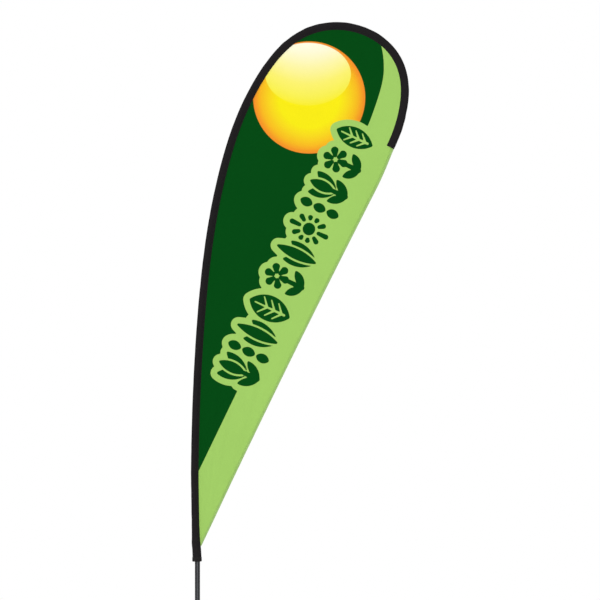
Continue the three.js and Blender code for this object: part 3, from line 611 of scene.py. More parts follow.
rubber = makePlain("rubber", (24, 24, 25), 0.85, worn=(70, 69, 67), scratch=0.3, stretch=(1, 1, 1), dust=0.14,
                   grain=(0.0016, 0.00012), Specular_IOR_Level=0.25)
nylon = makePlain("nylon", (214, 211, 200), 0.5, grain=(0.002, 0.00003))
legPaint = makePlain("legPaint", (25, 26, 28), 0.46, mottleDepth=0.08, worn=(96, 98, 102), scratch=0.5,
                     stretch=(1, 1, 1), dust=0.1, grain=(0.0013, 0.00006), Specular_IOR_Level=0.35)
zincSteel = makePlain("zincSteel", (176, 179, 183), 0.34, metallic=1.0, mottleDepth=0.25, worn=(120, 118, 110),
                      scratch=0.35, grain=(0.003, 0.00003))
bearingSteel = makePlain("bearingSteel", (198, 201, 205), 0.16, metallic=1.0, mottleDepth=0.06,
                         marks=(0.0004, 0.000006))
turnedSteel = makePlain("turnedSteel", (150, 154, 159), 0.27, metallic=1.0, mottleDepth=0.15, worn=(96, 95, 92),
                        scratch=0.35, marks=(0.00055, 0.000022))
brass = makePlain("brass", (178, 143, 74), 0.3, metallic=1.0, mottleDepth=0.2, worn=(120, 92, 44), scratch=0.3,
                  grain=(0.002, 0.00002))
print("materials made:", len(bpy.data.materials))


sleeve = {
    "mouth": 0.012,  # arc at which it starts
    "cuff": 0.020,
    "poleStops": [0, 1.060, 2.060, 3.262],  # foot, two ferrules, tip
    "poleRadii": [0.0110, 0.0099, 0.0078, 0.0026],
    "easeOuter": [(0, 0.0037), (0.08, 0.0048), (0.2, 0.0036), (0.35, 0.0019), (0.75, 0.0044), (1.1, 0.0029),
                  (1.8, 0.0017), (2.4, 0.0034), (2.75, 0.0052), (3.262, 0.0064)],  # arc, room beyond the pole
    "easeDepth": [(0, 0.0050), (1.06, 0.0035), (2.06, 0.0030), (3.262, 0.0054)],
    "flap": [(0, 0.0060), (0.08, 0.0081), (0.2, 0.0078), (0.35, 0.0100), (0.75, 0.0082), (1.1, 0.0107),
             (1.8, 0.0154), (2.4, 0.0176), (2.75, 0.0197), (3.262, 0.0240)],
    "looseOuter": 0.0063,  # slack at the mouth, which fades between two arcs
    "looseOuterArcs": (0.060, 0.300),
    "looseWidth": 0.0065,
    "looseWidthEnd": 0.130,
    "pinch": 1.6,
    "wall": 0.0009,
    "seamHalf": 0.0011,  # half the thickness of the sewn edge
    "cuffStand": 0.0011,
    "cuffLead": 0.006,  # how far the cuff starts before the body
    "cuffRings": 15,
    "edge": 0.0004,  # round on the cut ends
    "girth": 0.075,
    "sides": 48,
    "spacing": 0.0065,
    "ripple": 0.00055,
}


def sleeveSize(arc):
    # outer reach, half depth and seam reach: the pole's radius and its room, with slack at the mouth
    radius = np.interp(arc, sleeve["poleStops"], sleeve["poleRadii"])
    slack = sleeve["looseOuter"] * (1 - smooth(arc, *sleeve["looseOuterArcs"]))
    spread = sleeve["looseWidth"] * (1 - smooth(arc, sleeve["mouth"], sleeve["looseWidthEnd"]))
    outer = radius + through(sleeve["easeOuter"], arc) + slack
    depth = radius + through(sleeve["easeDepth"], arc)
    seam = radius + through(sleeve["flap"], arc) + spread - slack
    return outer, depth, seam


def ripple(arc, turn):
    # small cross folds: three waves along the pole that drift round it, deeper where the bow is tight
    bend = smooth(np.abs(np.interp(arc, walkArc, np.gradient(walkLean, walkArc))), 0.3, 2.0)
    waves = 0.5 * np.sin(arc * 97 + 1.7 * np.sin(turn + arc * 9))
    waves = waves + 0.25 * np.sin(arc * 151 - 1.5 * np.cos(turn * 2) + 2.0)
    waves = waves + 0.7 * np.sin(arc * 43 + turn + 0.6)
    patchy = 0.55 + 0.45 * np.sin(arc * 11.3 + 0.4) * np.sin(arc * 5.1 + 2.2)
    mouth = 1 - smooth(arc, 0.05, 0.35)
    return sleeve["ripple"] * waves * patchy * (0.6 + 0.7 * bend + 0.9 * mouth)


def sleeveSection(arc, turn, inset, rippled=1.0):
    # half an ellipse behind the pole; in front the depth falls as 1 - cos^pinch to the sewn edge
    outer, depth, seam = sleeveSize(arc)
    reach = np.cos(turn)
    thin = (depth - inset) * (1 - np.clip(reach, 0, 1) ** sleeve["pinch"])
    edge = np.maximum(sleeve["seamHalf"] - inset * 0.8, 0.0002)
    blunt = np.sqrt(np.clip(1 - np.clip(reach, 0, 1) ** 14, 0, 1))
    thin = np.hypot(thin, edge * blunt * smooth(reach, 0.0, 0.5))
    side = np.sign(np.sin(turn)) * (np.abs(np.sin(turn)) > 1e-9)
    across = np.where(reach <= 0, (outer - inset) * reach, (seam - inset) * reach)
    out = np.where(reach <= 0, (depth - inset) * np.sin(turn), side * thin)
    swell = 1 + rippled * ripple(arc, turn) * (1 - smooth(reach, 0.45, 0.85)) / depth
    return across * np.where(reach < 0.85, swell, 1), out * swell


def clothTube(name, arcs, insets, material, stands):
    # the section carried out along its outside and back along its inside, closed at both ends
    turn = np.linspace(0, 2 * np.pi, sleeve["sides"] + 1)
    across, out = sleeveSection(arcs[:, None], turn[None, :-1], insets[:, None])
    grid = offBow(arcs[:, None], across, out)
    around = turn[None, :] / (2 * np.pi) * sleeve["girth"]
    cloth = np.stack(np.broadcast_arrays(around, arcs[:, None]), -1)
    cloth = np.concatenate([cloth, cloth[:1]])
    addSurface(name, grid, material, "pole_and_sail", stands, cloth, True, True)


def addSleeve():
    edge, rings = sleeve["edge"], sleeve["cuffRings"]
    count = int((bow["length"] - sleeve["mouth"]) / sleeve["spacing"])
    start, end = sleeve["mouth"] + sleeve["cuffLead"], bow["length"]
    arcs = np.concatenate([[start], np.linspace(start + edge, end - edge, count), [end]])
    outside = np.concatenate([[edge], np.zeros(count), [edge]])
    clothTube("sleeveBody", np.concatenate([arcs, arcs[::-1]]),
              np.concatenate([outside, sleeve["wall"] - outside]), sleeveCloth, ["pole_sleeve"])
    # the cuff is the sleeve's edge folded over, so it swells between its two ends
    start, end = sleeve["mouth"], sleeve["mouth"] + sleeve["cuff"]
    arcs = np.linspace(start, end, rings)
    share = np.abs(2 * (arcs - start) / (end - start) - 1)
    stand = -sleeve["cuffStand"] * np.sqrt(1 - share ** 6) - 0.0001
    clothTube("sleeveCuff", np.concatenate([arcs, arcs[::-1]]),
              np.concatenate([stand, np.full(rings, sleeve["wall"])]), cuffCloth, ["sleeve_cuff"])


addSleeve()
print("sleeve made")


sail = {
    "tipArc": 0.075,  # arc beside which the trailing edge starts
    "startArc": 0.079,  # arc at which the panel starts
    "tipBlunt": 0.006,
    "gap": 0.0003,
    "hollow": [(0, 0.0048), (0.05, 0.0051), (0.16, 0.0068), (0.32, 0.0071), (0.48, 0.0059), (0.6, 0.0037),
               (0.72, 0.0006), (0.85, -0.0040), (0.93, -0.0060), (1, 0.0010)],  # share of the edge, inward
    "headTuck": 0.004,  # how far the hem runs on inside the sleeve's end
    "hemWidth": 0.009,
    "hemHalf": 0.0011,
    "half": 0.0004,  # half the cloth's thickness
    "tuck": 0.006,  # how far the panel reaches into the sewn edge
    "rows": 580,
    "columns": 82,
    "columnShares": (0.17, 0.92),  # shares of the columns that end before the marks, and past them
    "rowStations": [(0, 0), (0.16, 0.26), (0.86, 0.89), (0.97, 0.995), (1, 1)],  # share of rows, of the height
    "rowOfMarks": (0.295, 0.072),  # distances from the print's line between which most columns lie
    "billow": 0.004,
    "folds": 0.0012,
}


def seamPoint(arc, tuck=0.0):
    # x and z where the sail meets the sleeve's sewn edge
    return offBow(arc, sleeveSize(arc)[2] + sail["gap"] - tuck)[..., ::2]


sailHead = offBow(bow["length"] + sail["gap"], -sleeveSize(bow["length"])[0])[::2]
sailFoot = seamPoint(sail["tipArc"]) + np.array([sail["tipBlunt"], 0])
edgeRun = sailHead - sailFoot
edgeLength = np.linalg.norm(edgeRun)


def trailingPoint(share, inset):
    # a straight run from foot to head, moved inward by its hollow
    inward = np.array([-edgeRun[1], edgeRun[0]]) / edgeLength
    away = through(sail["hollow"], share) + inset
    return sailFoot + share[..., None] * edgeRun + away[..., None] * inward


def hemWidthAt(share):
    # the hem narrows to a quarter where it ends at the foot
    return sail["hemWidth"] * (0.25 + 0.75 * smooth(share * edgeLength, 0.0, 0.016))


def sheetFaces(rows, columns):
    # a front and a back grid, and a rim of quads that joins their borders
    front = gridFaces(rows, columns)
    count = rows * columns
    number = np.arange(count).reshape(rows, columns)
    border = np.concatenate([number[0, :-1], number[:-1, -1], number[-1, :0:-1], number[:0:-1, 0]])
    ahead = np.roll(border, -1)
    rim = np.stack([ahead, border, border + count, ahead + count], -1)
    return np.vstack([front, front[:, ::-1] + count, rim])


def panelOutline():
    # for each row, how far along the print's line it is, and its two ends' distances from that line
    arc = np.linspace(sail["startArc"], bow["length"], 4000)
    seam = printPlace(seamPoint(arc, sail["tuck"]))
    share = np.linspace(0, 1 - 0.0005 / edgeLength, 2000)
    trailing = printPlace(trailingPoint(share, hemWidthAt(share) * 0.66))
    top = np.argmax(seam[:, 0])
    along = through(sail["rowStations"], np.linspace(0, 1, sail["rows"]))
    along = seam[0, 0] + along * (seam[top, 0] - seam[0, 0])
    left = np.interp(along, seam[:top + 1, 0], seam[:top + 1, 1])
    lower = np.interp(along, trailing[:, 0], trailing[:, 1])
    upper = np.interp(along, seam[:top - 1:-1, 0], seam[:top - 1:-1, 1])
    # the row nearest the sleeve's end is moved onto it, so the outline steps inward there
    step = np.argmin(np.abs(along - trailing[-1, 0]))
    along[step] = trailing[-1, 0]
    right = np.where(np.arange(len(along)) <= step, lower, upper)
    return along, left, right


def panelGrid(along, left, right):
    # lines square to the print's line, with few columns up to the marks and most of them across the marks
    q = np.linspace(0, 1, sail["columns"])
    (high, low), (early, late) = sail["rowOfMarks"], sail["columnShares"]
    first = np.clip((left - high) / (left - right), early, 0.85)[:, None]
    last = np.clip((left - low) / (left - right), first[:, 0] + 0.1, 0.95)[:, None]
    across = first + (last - first) * (q - early) / (late - early)
    past = last + (1 - last) * (q - late) / (1 - late)
    t = np.where(q < early, first * q / early, np.where(q < late, across, past))
    away = left[:, None] * (1 - t) + right[:, None] * t
    turn = math.radians(printed["rowLean"])
    x = printed["rowFoot"][0] + along[:, None] * math.sin(turn) - away * math.cos(turn)
    z = printed["rowFoot"][1] + along[:, None] * math.cos(turn) + away * math.sin(turn)
    s = (along[:, None] - along[0]) / (along[-1] - along[0])
    return x, sailDepth(x, z, s, t, (left - right)[:, None]), z


def sailDepth(x, z, s, t, width):
    # a half sine each way for the billow, with faint folds that fan out from the foot or cross the head
    fade = smooth(t, 0.0, 0.15) * smooth(1 - t, 0.0, 0.15) * smooth(s, 0, 0.06) * smooth(1 - s, 0, 0.12)
    belly = np.sin(np.pi * t) * np.sin(np.pi * np.clip(s * 1.05, 0, 1)) * width / 0.5
    fan = np.arctan2(x - 0.01, z - 0.45)
    folds = np.sin(fan * 58 + 1.3) * 0.5 + np.sin(fan * 97 + 0.4 + z * 1.1) * 0.3
    folds = folds * (1 - smooth(z, 1.3, 2.5))
    head = np.sin((x * 0.8 + z * 0.6) * 23 + 0.7 * np.sin(x * 7)) * smooth(z, 1.5, 2.3) * 0.4
    return fade * (sail["billow"] * belly + sail["folds"] * (folds + head))


def addPanel():
    # the grid moved half a thickness each way and joined round its rim; the area is the sum of its strips
    along, left, right = panelOutline()
    x, y, z = panelGrid(along, left, right)
    front = np.stack([x, y - sail["half"], z], -1)
    back = np.stack([x, y + sail["half"], z], -1)
    faces = sheetFaces(sail["rows"], sail["columns"])
    points = np.concatenate([front.reshape(-1, 3), back.reshape(-1, 3)])
    panel = addPiece("sailPanel", points, faces.tolist(), sailCloth, "pole_and_sail",
                     ["flag_panel"], points[faces][..., ::2], weld=False)
    light, marks = printDistances(points[:, ::2])
    for label, values in (("lightEdge", light), ("markEdge", marks),
                          ("backFace", np.repeat([0.0, 1.0], len(points) // 2))):
        made = panel.data.attributes.new(label, "FLOAT", "POINT")
        made.data.foreach_set("value", values.astype(np.float32))
    return panel, float(np.sum((left - right)[1:] * np.diff(along)))


def signedPower(value, power):
    # |value|^power with the sign of value
    return np.sign(value) * np.abs(value) ** power


def capped(grid):
    # one more ring at each end, drawn together at its middle
    ends = [np.repeat(ring.mean(1, keepdims=True), grid.shape[1], 1) for ring in (grid[:1], grid[-1:])]
    return np.concatenate([ends[0], grid, ends[1]])


def addHem():
    # a flat oval carried along the trailing edge: width cos^0.6, thickness sin, both signed
    share = np.linspace(0.0005, 1 + sail["headTuck"] / edgeLength, 260)
    turn = np.linspace(0, 2 * np.pi, 20, endpoint=False)
    centre = hemWidthAt(share)[:, None] / 2
    inset = centre + centre * signedPower(np.cos(turn), 0.6)[None, :]
    pulled = 1 - 0.12 * np.cos(share * edgeLength / sewing["hemStitch"][0] * 2 * np.pi) ** 2
    y = sail["hemHalf"] * np.sin(turn)[None, :] * pulled[:, None]
    flat = trailingPoint(share[:, None] + np.zeros_like(inset), inset)
    grid = capped(np.stack([flat[..., 0], y, flat[..., 1]], -1))
    around = np.linspace(0, 0.02, len(turn) + 1)
    along = np.concatenate([[0], share * edgeLength, [edgeLength]])
    cloth = np.stack(np.broadcast_arrays(around[None, :], along[:, None]), -1)
    return addSurface("trailingHem", grid, hemCloth, "pole_and_sail", ["trailing_hem"],
                      cloth, loopColumns=True)


sewing = {
    "seamRows": (0.0016, 0.0046),  # how far inside the sleeve's edge
    "seamStart": 0.105,
    "seamRoom": 0.004,  # left unsewn at the sleeve's end
    "hemRow": 0.72,  # share of the hem's width
    "cuffRows": (0.0165, 0.0285),  # arcs
    "cuffGap": 0.45,  # radians left unsewn each side of the seam
    "seamStitch": (0.0048, 0.0034, 0.00042),  # pitch, length and thickness
    "hemStitch": (0.0034, 0.0026, 0.00042),
    "cuffStitch": (0.0040, 0.0030, 0.0004),
    "strapStitch": (0.0030, 0.0022, 0.0004),
}


def unit(vectors):
    return vectors / np.linalg.norm(vectors, axis=1, keepdims=True)


def addStitches(name, spots, out, material, size):
    # one short thread for each pitch of the line through spots: a five-sided tube with thin sunken ends
    pitch, length, thick = size
    spots = np.asarray(spots)
    steps = np.linalg.norm(np.diff(spots, axis=0), axis=1)
    walked = np.concatenate([[0], np.cumsum(steps)])
    places = np.arange(pitch / 2, walked[-1], pitch)

    def readAt(line, values):
        return np.stack([np.interp(values, walked, line[:, k]) for k in range(3)], -1)

    centre = readAt(spots, places)
    along = unit(readAt(spots, places + length / 4) - readAt(spots, places - length / 4))
    up = unit(readAt(np.broadcast_to(np.asarray(out, float), spots.shape), places))
    across = np.cross(along, up)
    shift = np.array([-0.5, -0.25, 0.25, 0.5]) * length  # four rings to a thread
    radius = np.array([0.3, 1, 1, 0.3]) * thick
    lift = np.array([-0.7, 0.3, 0.3, -0.7]) * thick
    turn = np.linspace(0, 2 * np.pi, 5, endpoint=False)
    grid = (centre[:, None, None] + along[:, None, None] * shift[None, :, None, None]
            + up[:, None, None] * (lift[:, None] + radius[:, None] * np.sin(turn))[None, :, :, None]
            + across[:, None, None] * (radius[:, None] * np.cos(turn))[None, :, :, None])
    first = np.arange(len(places))[:, None] * 20
    quads = (gridFaces(4, 5, loopColumns=True)[None] + first[:, :, None]).reshape(-1, 4).tolist()
    caps = np.stack([first + np.arange(5)[::-1], first + 15 + np.arange(5)], 1).reshape(-1, 5).tolist()
    addPiece(name, grid, quads + caps, material, "pole_and_sail")


hemCloth = makeCloth("hemCloth", (157, 193, 112), pitch=0.0011, slub=0.5, rough=0.8, sheen=0.08)
panelPiece, panelArea = addPanel()
hemPiece = addHem()
print("sail made, area", round(panelArea, 3))


def addSewing():
    # two rows along the sleeve's seam and one along the hem, front and back, and two rows round the cuff
    arc = np.linspace(sewing["seamStart"], bow["length"] - sewing["seamRoom"], 900)
    reach = sleeveSize(arc)[2]
    share = np.linspace(0.012, 0.998, 500)
    hemLine = trailingPoint(share, np.full(len(share), sail["hemWidth"] * sewing["hemRow"]))
    for side, label in ((-1, "Front"), (1, "Back")):
        for row, back in enumerate(sewing["seamRows"]):
            turn = np.arccos(np.clip((reach - back) / reach, -1, 1))
            depth = sleeveSection(arc, turn, np.zeros_like(arc))[1]
            spots = offBow(arc, reach - back, side * (np.abs(depth) + 0.0001))
            addStitches(f"seamStitch{label}{row + 1}", spots, (0, side, 0), blackThread,
                        sewing["seamStitch"])
        y = np.full(len(share), side * sail["hemHalf"] * 0.8)
        spots = np.stack([hemLine[:, 0], y, hemLine[:, 1]], -1)
        addStitches(f"hemStitch{label}", spots, (0, side, 0), greenThread, sewing["hemStitch"])
    turn = np.linspace(sewing["cuffGap"], 2 * np.pi - sewing["cuffGap"], 80)
    away = np.stack([np.cos(turn), np.sin(turn), np.zeros(len(turn))], -1)
    for row, rowArc in enumerate(sewing["cuffRows"]):
        arcs = np.full(len(turn), rowArc)
        across, out = sleeveSection(arcs, turn, np.full(len(turn), -sleeve["cuffStand"]))
        addStitches(f"cuffStitch{row + 1}", offBow(arcs, across, out), away, blackThread,
                    sewing["cuffStitch"])


addSewing()
print("sewing made")


pole = {
    "tubeRadius": 0.011,
    "tubeBore": 0.009,
    "tubeFoot": -0.3864,  # arc of its lower end
    "tubeTop": 0.038,
    "collar": 0.012,
    "lowerRadius": 0.0087,
    "lowerTop": 1.060,
    "middleRadius": 0.0066,
    "middleTop": 2.060,
    "wall": 0.0018,
    "plug": 0.100,  # how far each section reaches into the one below
    "ferrule": 0.050,
    "ferruleWall": 0.0009,
    "rodRadius": 0.0045,
    "rodEnd": 0.0026,
    "capStart": 3.2077,
    "capLength": 0.034,
    "capEnd": 0.010,
    "capWall": 0.0007,
    "slip": 0.0003,  # clearance between pieces that slide together
}


def addPole():
    p = pole
    collarFoot = p["tubeTop"] + p["slip"]
    rodEnd = p["capStart"] + p["capLength"] - p["capEnd"] - p["slip"]
    capBore = p["rodEnd"] + p["slip"] + 0.0001

    def taper(arc):
        return np.interp(arc, [p["middleTop"], rodEnd], [p["rodRadius"], p["rodEnd"]])

    addOnBow("baseTube", p["tubeFoot"], p["tubeTop"], p["tubeRadius"], p["tubeBore"], poleTube,
             ["base_tube"], 0.0005, 64)
    addOnBow("jointCollar", collarFoot, collarFoot + p["collar"], p["tubeRadius"], p["tubeBore"], blackPlastic,
             ["joint_collar"], 0.0006, 48, 0.002)
    for label, foot in (("lower", p["tubeTop"]), ("middle", p["lowerTop"])):
        radius, top = p[label + "Radius"], p[label + "Top"]
        addOnBow(label + "Section", foot - p["plug"], top, radius, radius - p["wall"], fibreglass,
                 [label + "_section"])
        bore = radius + p["slip"]
        addOnBow(label + "Ferrule", top - p["ferrule"], top, bore + p["ferruleWall"], bore, ferruleSteel,
                 [label + "_ferrule"], 0.0003, 48, 0.004)
    addOnBow("tipRod", p["middleTop"] - p["plug"], rodEnd, taper, None, fibreglass, ["tip_rod"],
             0.0003, 24)
    addOnBow("tipCap", p["capStart"], p["capStart"] + p["capLength"], capBore + p["capWall"], capBore,
             blackPlastic, ["tip_cap"], 0.0003, 32, 0.003)


addPole()
print("pole made")


pocket = {
    "length": 0.047,
    "room": 0.0006,  # between it and the sleeve's end
    "inset": 0.0016,
    "round": 0.002,
    "rings": 20,
}
strap = {
    "width": 0.020,
    "half": 0.0008,  # half its thickness
    "back": 0.018,  # middle of its thickness, behind the pole
    "top": 0.530,
    "end": 0.013,  # from the eyelet's middle to the strap's foot
    "footRound": 0.010,
    "eyeletHeight": 0.430,
    "eyeletInner": 0.0047,
    "eyeletRim": 0.0019,
    "eyeletStand": 0.0006,
    "studHeight": 0.428,
    "stud": [(0, 0.009), (0.0024, 0.009), (0.0024, 0.0113), (0.005, 0.0113), (0.005, 0.0162), (0.0024, 0.0162),
             (0.0024, 0.0196), (0.0044, 0.0196), (0.0044, 0.0205), (0.0024, 0.0214), (0, 0.0214)],
    "boxHalf": 0.0075,  # half the width of the sewn box
    "boxFoot": 0.498,
    "boxTop": 0.526,
}


def addPocket():
    # the sleeve's far end is closed by a folded patch: the section, shrunk by a rounded end
    arcs = np.linspace(bow["length"] - pocket["length"], bow["length"] - pocket["room"], pocket["rings"])
    share = np.linspace(-1, 1, pocket["rings"])
    inset = pocket["inset"] + pocket["round"] * (1 - np.sqrt(1 - np.abs(share) ** 8 * 0.9))
    turn = np.linspace(0, 2 * np.pi, sleeve["sides"] + 1)
    across, out = sleeveSection(arcs[:, None], turn[None, :-1], inset[:, None], 0.0)
    grid = capped(offBow(arcs[:, None], across, out))
    cloth = np.stack(np.broadcast_arrays(turn[None, :] * 0.01, np.linspace(0, 0.05, len(grid))[:, None]), -1)
    addSurface("endPocket", grid, webbing, "pole_and_sail", ["end_pocket"], cloth, loopColumns=True)


def addStrap():
    # a flat oval section along an upright line; its foot is a half circle round the eyelet
    foot, curve = strap["eyeletHeight"] - strap["end"], strap["footRound"]
    z = np.concatenate([foot + curve * (1 - np.cos(np.linspace(0.06, np.pi / 2, 14))),
                        np.linspace(foot + curve + 0.0005, strap["top"], 60)])
    low = np.clip((z - foot) / curve, 0, 1)
    half = strap["width"] / 2 * np.sqrt(1 - (1 - low) ** 2)
    turn = np.linspace(0, 2 * np.pi, 29)
    wide = signedPower(np.cos(turn), 0.35)
    thick = signedPower(np.sin(turn), 0.6)
    x = half[:, None] * wide[None, :-1]
    y = strap["back"] + strap["half"] * thick[None, :-1] + np.zeros_like(x)
    grid = capped(np.stack([x, y, z[:, None] + np.zeros_like(x)], -1))
    along = np.concatenate([z[:1], z, z[-1:]])
    cloth = np.stack(np.broadcast_arrays(wide[None, :] * strap["width"] / 2, along[:, None]), -1)
    addSurface("tensionStrap", grid, webbing, "pole_and_sail", ["tension_strap"], cloth,
               loopColumns=True)


def addFastening():
    # the eyelet and the stud are profiles turned about an axis that points backwards
    inner, outer = strap["eyeletInner"], strap["eyeletInner"] + strap["eyeletRim"]
    reach = strap["half"] + strap["eyeletStand"]
    eyelet = [(inner, -reach), (outer, -reach), (outer, reach), (inner, reach)]
    addLathe("strapEyelet", eyelet, brass, "pole_and_sail", "brass", ["strap_eyelet"], 0.0007, True,
             centre=(0, strap["back"], strap["eyeletHeight"]), sides=48, axis="y")
    addLathe("tensionStud", strap["stud"], zincSteel, "pole_and_sail", "zinc_steel", ["tension_stud"], 0.0003,
             centre=(0, 0, strap["studHeight"]), sides=48, axis="y")
    # a box with a cross, sewn through the strap's top
    side, bottom, top = strap["boxHalf"], strap["boxFoot"], strap["boxTop"]
    box = [(-side, bottom), (side, bottom), (side, top), (-side, top), (-side, bottom), (side, top)]
    cross = [(-side, top), (side, bottom)]
    for label, line in (("Box", box), ("Cross", cross)):
        spots = np.array([(x, strap["back"] + strap["half"], z) for x, z in line])
        addStitches(f"strapStitch{label}", spots, (0, 1, 0), blackThread, sewing["strapStitch"])


addPocket()
addStrap()
addFastening()
print("strap made")


spindle = {
    "radius": 0.0086,
    "foot": 0.0933,
    "length": 0.215,
    "lead": 0.004,  # length of the cone at its top
    "flangeFoot": 0.0863,
    "flange": 0.004,
    "flangeRadius": 0.0240,
    "seatRadius": 0.014,
    "plugRadius": 0.0157,
    "plugFoot": 0.0783,
    "grooves": [0.27, 0.85],  # shares of the length
    "grooveDepth": 0.0018,
    "grooveHeight": 0.0023,
}
housing = {
    "foot": 0.0310,
    "top": 0.0860,
    "radius": 0.0240,
    "chamfer": 0.002,
    "skirt": 0.0170,
    "skirtDepth": 0.010,
    "bore": 0.0143,
    "seat": 0.008,  # depth of the spindle's seat
    "waists": (0.012, 0.030),  # above the foot
    "grip": 0.0016,  # depth of the waists
    "seal": [(0.0113, 0.0362), (0.0167, 0.0362), (0.0167, 0.0404), (0.0113, 0.0404)],
    "screws": 3,
    "screwDrop": 0.004,  # below the top
    "screwHole": [(0, 0.014), (0.0028, 0.014), (0.0028, 0.030), (0, 0.030)],  # radius, reach from the axis
    "screw": [(0, 0.0161), (0.0025, 0.0161), (0.0025, 0.0232), (0.0015, 0.0232), (0.0013, 0.0212), (0, 0.0212)],
}


def addSpindle():
    # a turned profile with two grooves, and a round ring in each
    s = spindle
    groove = s["radius"] - s["grooveDepth"]
    flangeTop, end = s["flangeFoot"] + s["flange"], s["foot"] + s["length"]
    profile = [(0, s["plugFoot"]), (s["plugRadius"], s["plugFoot"]), (s["plugRadius"], s["flangeFoot"]),
               (s["flangeRadius"], s["flangeFoot"]), (s["flangeRadius"], flangeTop),
               (s["seatRadius"], flangeTop), (s["seatRadius"] - 0.001, s["foot"]), (s["radius"], s["foot"])]
    turn = np.linspace(0, 2 * np.pi, 16, endpoint=False)
    ringRadius = (s["grooveDepth"] + 0.00005) / 2
    for number, share in enumerate(s["grooves"]):
        base = s["foot"] + share * s["length"]
        top = base + s["grooveHeight"]
        profile += [(s["radius"], base), (groove, base), (groove, top), (s["radius"], top)]
        ring = np.stack([groove + 0.0001 + ringRadius * (1 + np.cos(turn)),
                         (base + top) / 2 + ringRadius * np.sin(turn)], -1)
        addSurface(f"oRing{number + 1}", lathed(ring), rubber, "rotor", [f"o_ring_{number + 1}"],
                   loopRows=True, loopColumns=True)
    profile += [(s["radius"], end - s["lead"]), (s["radius"] * 0.6, end), (0, end)]
    addLathe("spindleShaft", profile, turnedSteel, "rotor", "turned_steel", ["spindle"], 0.0006, sides=96)


def addHousing():
    # a turned shell: down its outside with two waists, and up through its bore
    h = housing
    radius, low, high, waist = h["radius"], h["foot"], h["top"], h["radius"] - h["grip"]
    seatRadius = spindle["plugRadius"] + 0.0003
    shell = [(h["skirt"], low), (radius - h["chamfer"], low), (radius, low + h["chamfer"])]
    for start in h["waists"]:
        shell += [(radius, low + start), (waist, low + start + 0.003), (waist, low + start + 0.009),
                  (radius, low + start + 0.012)]
    shell += [(radius, high), (seatRadius, high), (seatRadius, high - h["seat"]), (h["bore"], high - h["seat"]),
              (h["bore"], low + h["skirtDepth"]), (h["skirt"], low + h["skirtDepth"])]
    body = addLathe("housingShell", shell, turnedSteel, "rotor", "turned_steel", ["bearing_housing"], 0.0005,
                    True, sides=120)
    addLathe("dustSeal", h["seal"], rubber, "rotor", "rubber", ["dust_seal"], 0.0004, True, sides=64)
    return body


def turnPiece(piece, turn, height):
    # its points turned about the upright axis, then raised
    spin = np.array([[math.cos(turn), -math.sin(turn), 0], [math.sin(turn), math.cos(turn), 0], [0, 0, 1]])
    points = np.zeros(len(piece.data.vertices) * 3)
    piece.data.vertices.foreach_get("co", points)
    points = points.reshape(-1, 3) @ spin.T + np.array([0, 0, height])
    piece.data.vertices.foreach_set("co", points.ravel())


def boreScrews(body):
    # holes drilled into the housing's rim, each with its screw
    for number in range(housing["screws"]):
        hole = lathed(np.array(housing["screwHole"]), sides=32, axis="x")
        drill = addSurface(f"drill{number}", hole, turnedSteel, "rotor", loopColumns=True)
        screw = addLathe(f"setScrew{number + 1}", housing["screw"], zincSteel, "rotor", "zinc_steel",
                         [f"set_screw_{number + 1}"], 0.0002, sides=36, axis="x")
        for piece in (drill, screw):
            turnPiece(piece, number * 2 * math.pi / housing["screws"], housing["top"] - housing["screwDrop"])
        cutter = body.modifiers.new("drill", "BOOLEAN")
        cutter.operation, cutter.object, cutter.solver = "DIFFERENCE", drill, "EXACT"
        drilled = body.evaluated_get(bpy.context.evaluated_depsgraph_get())
        body.data = bpy.data.meshes.new_from_object(drilled)
        body.modifiers.clear()
        bpy.data.objects.remove(drill)


addSpindle()
boreScrews(addHousing())
print("spindle and housing made")


base = {
    "legRound": 0.0009,
    "footRound": 0.0004,
    "footScrewRound": 0.0002,
    "boltRound": 0.0004,
    "clampNutRound": 0.0005,
    "bearingNutRound": 0.0004,
    "centreFoot": [(0, 0), (0.0152, 0), (0.0167, 0.0015), (0.0167, 0.0137), (0.0107, 0.0137), (0.0107, 0.0059),
                   (0, 0.0059)],
    "bore": 0.0063,  # of everything that the bolt passes through
    "legWasher": (0.0190, 0.0203, 0.0218),  # radius, foot and top
    "lockWasher": (0.0104, 0.0284, 0.0304),
    "bearingSpacer": (0.0081, 0.0493, 0.0607),
    "bearingFeet": {"lower": 0.041, "upper": 0.061},
    "bearingWidth": 0.008,
    "bearingRadius": 0.0140,
    "innerRace": 0.0081,
    "outerRace": 0.0122,
    "trackHalf": 0.00175,
    "trackDepth": 0.0007,
}


def refine(node, name, material, body, width, segments=2):
    # a copy of the designed shape with its edges broken by a small round
    mesh = nodes[node].data.copy()
    mesh.name = name
    shape = bmesh.new()
    shape.from_mesh(mesh)
    bmesh.ops.remove_doubles(shape, verts=shape.verts, dist=2e-6)
    bmesh.ops.dissolve_limit(shape, angle_limit=math.radians(1), verts=shape.verts, edges=shape.edges)
    shape.to_mesh(mesh)
    shape.free()
    mesh.materials.clear()
    mesh.materials.append(material)
    mesh.polygons.foreach_set("material_index", np.zeros(len(mesh.polygons), np.int32))
    mesh.polygons.foreach_set("use_smooth", np.ones(len(mesh.polygons), bool))
    piece = bpy.data.objects.new(name, mesh)
    scene.collection.objects.link(piece)
    edges = piece.modifiers.new("edges", "BEVEL")
    edges.width, edges.segments, edges.limit_method = width, segments, "ANGLE"
    edges.angle_limit = math.radians(30)
    piece.modifiers.new("flats", "WEIGHTED_NORMAL").weight = 100
    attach(piece, body)
    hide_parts(node)


def addRing(name, size, material, slot, node):
    # a square section turned about the bolt's axis
    radius, foot, top = size
    section = [(base["bore"], foot), (radius, foot), (radius, top), (base["bore"], top)]
    addLathe(name, section, material, "base", slot, [node], 0.0003, True)


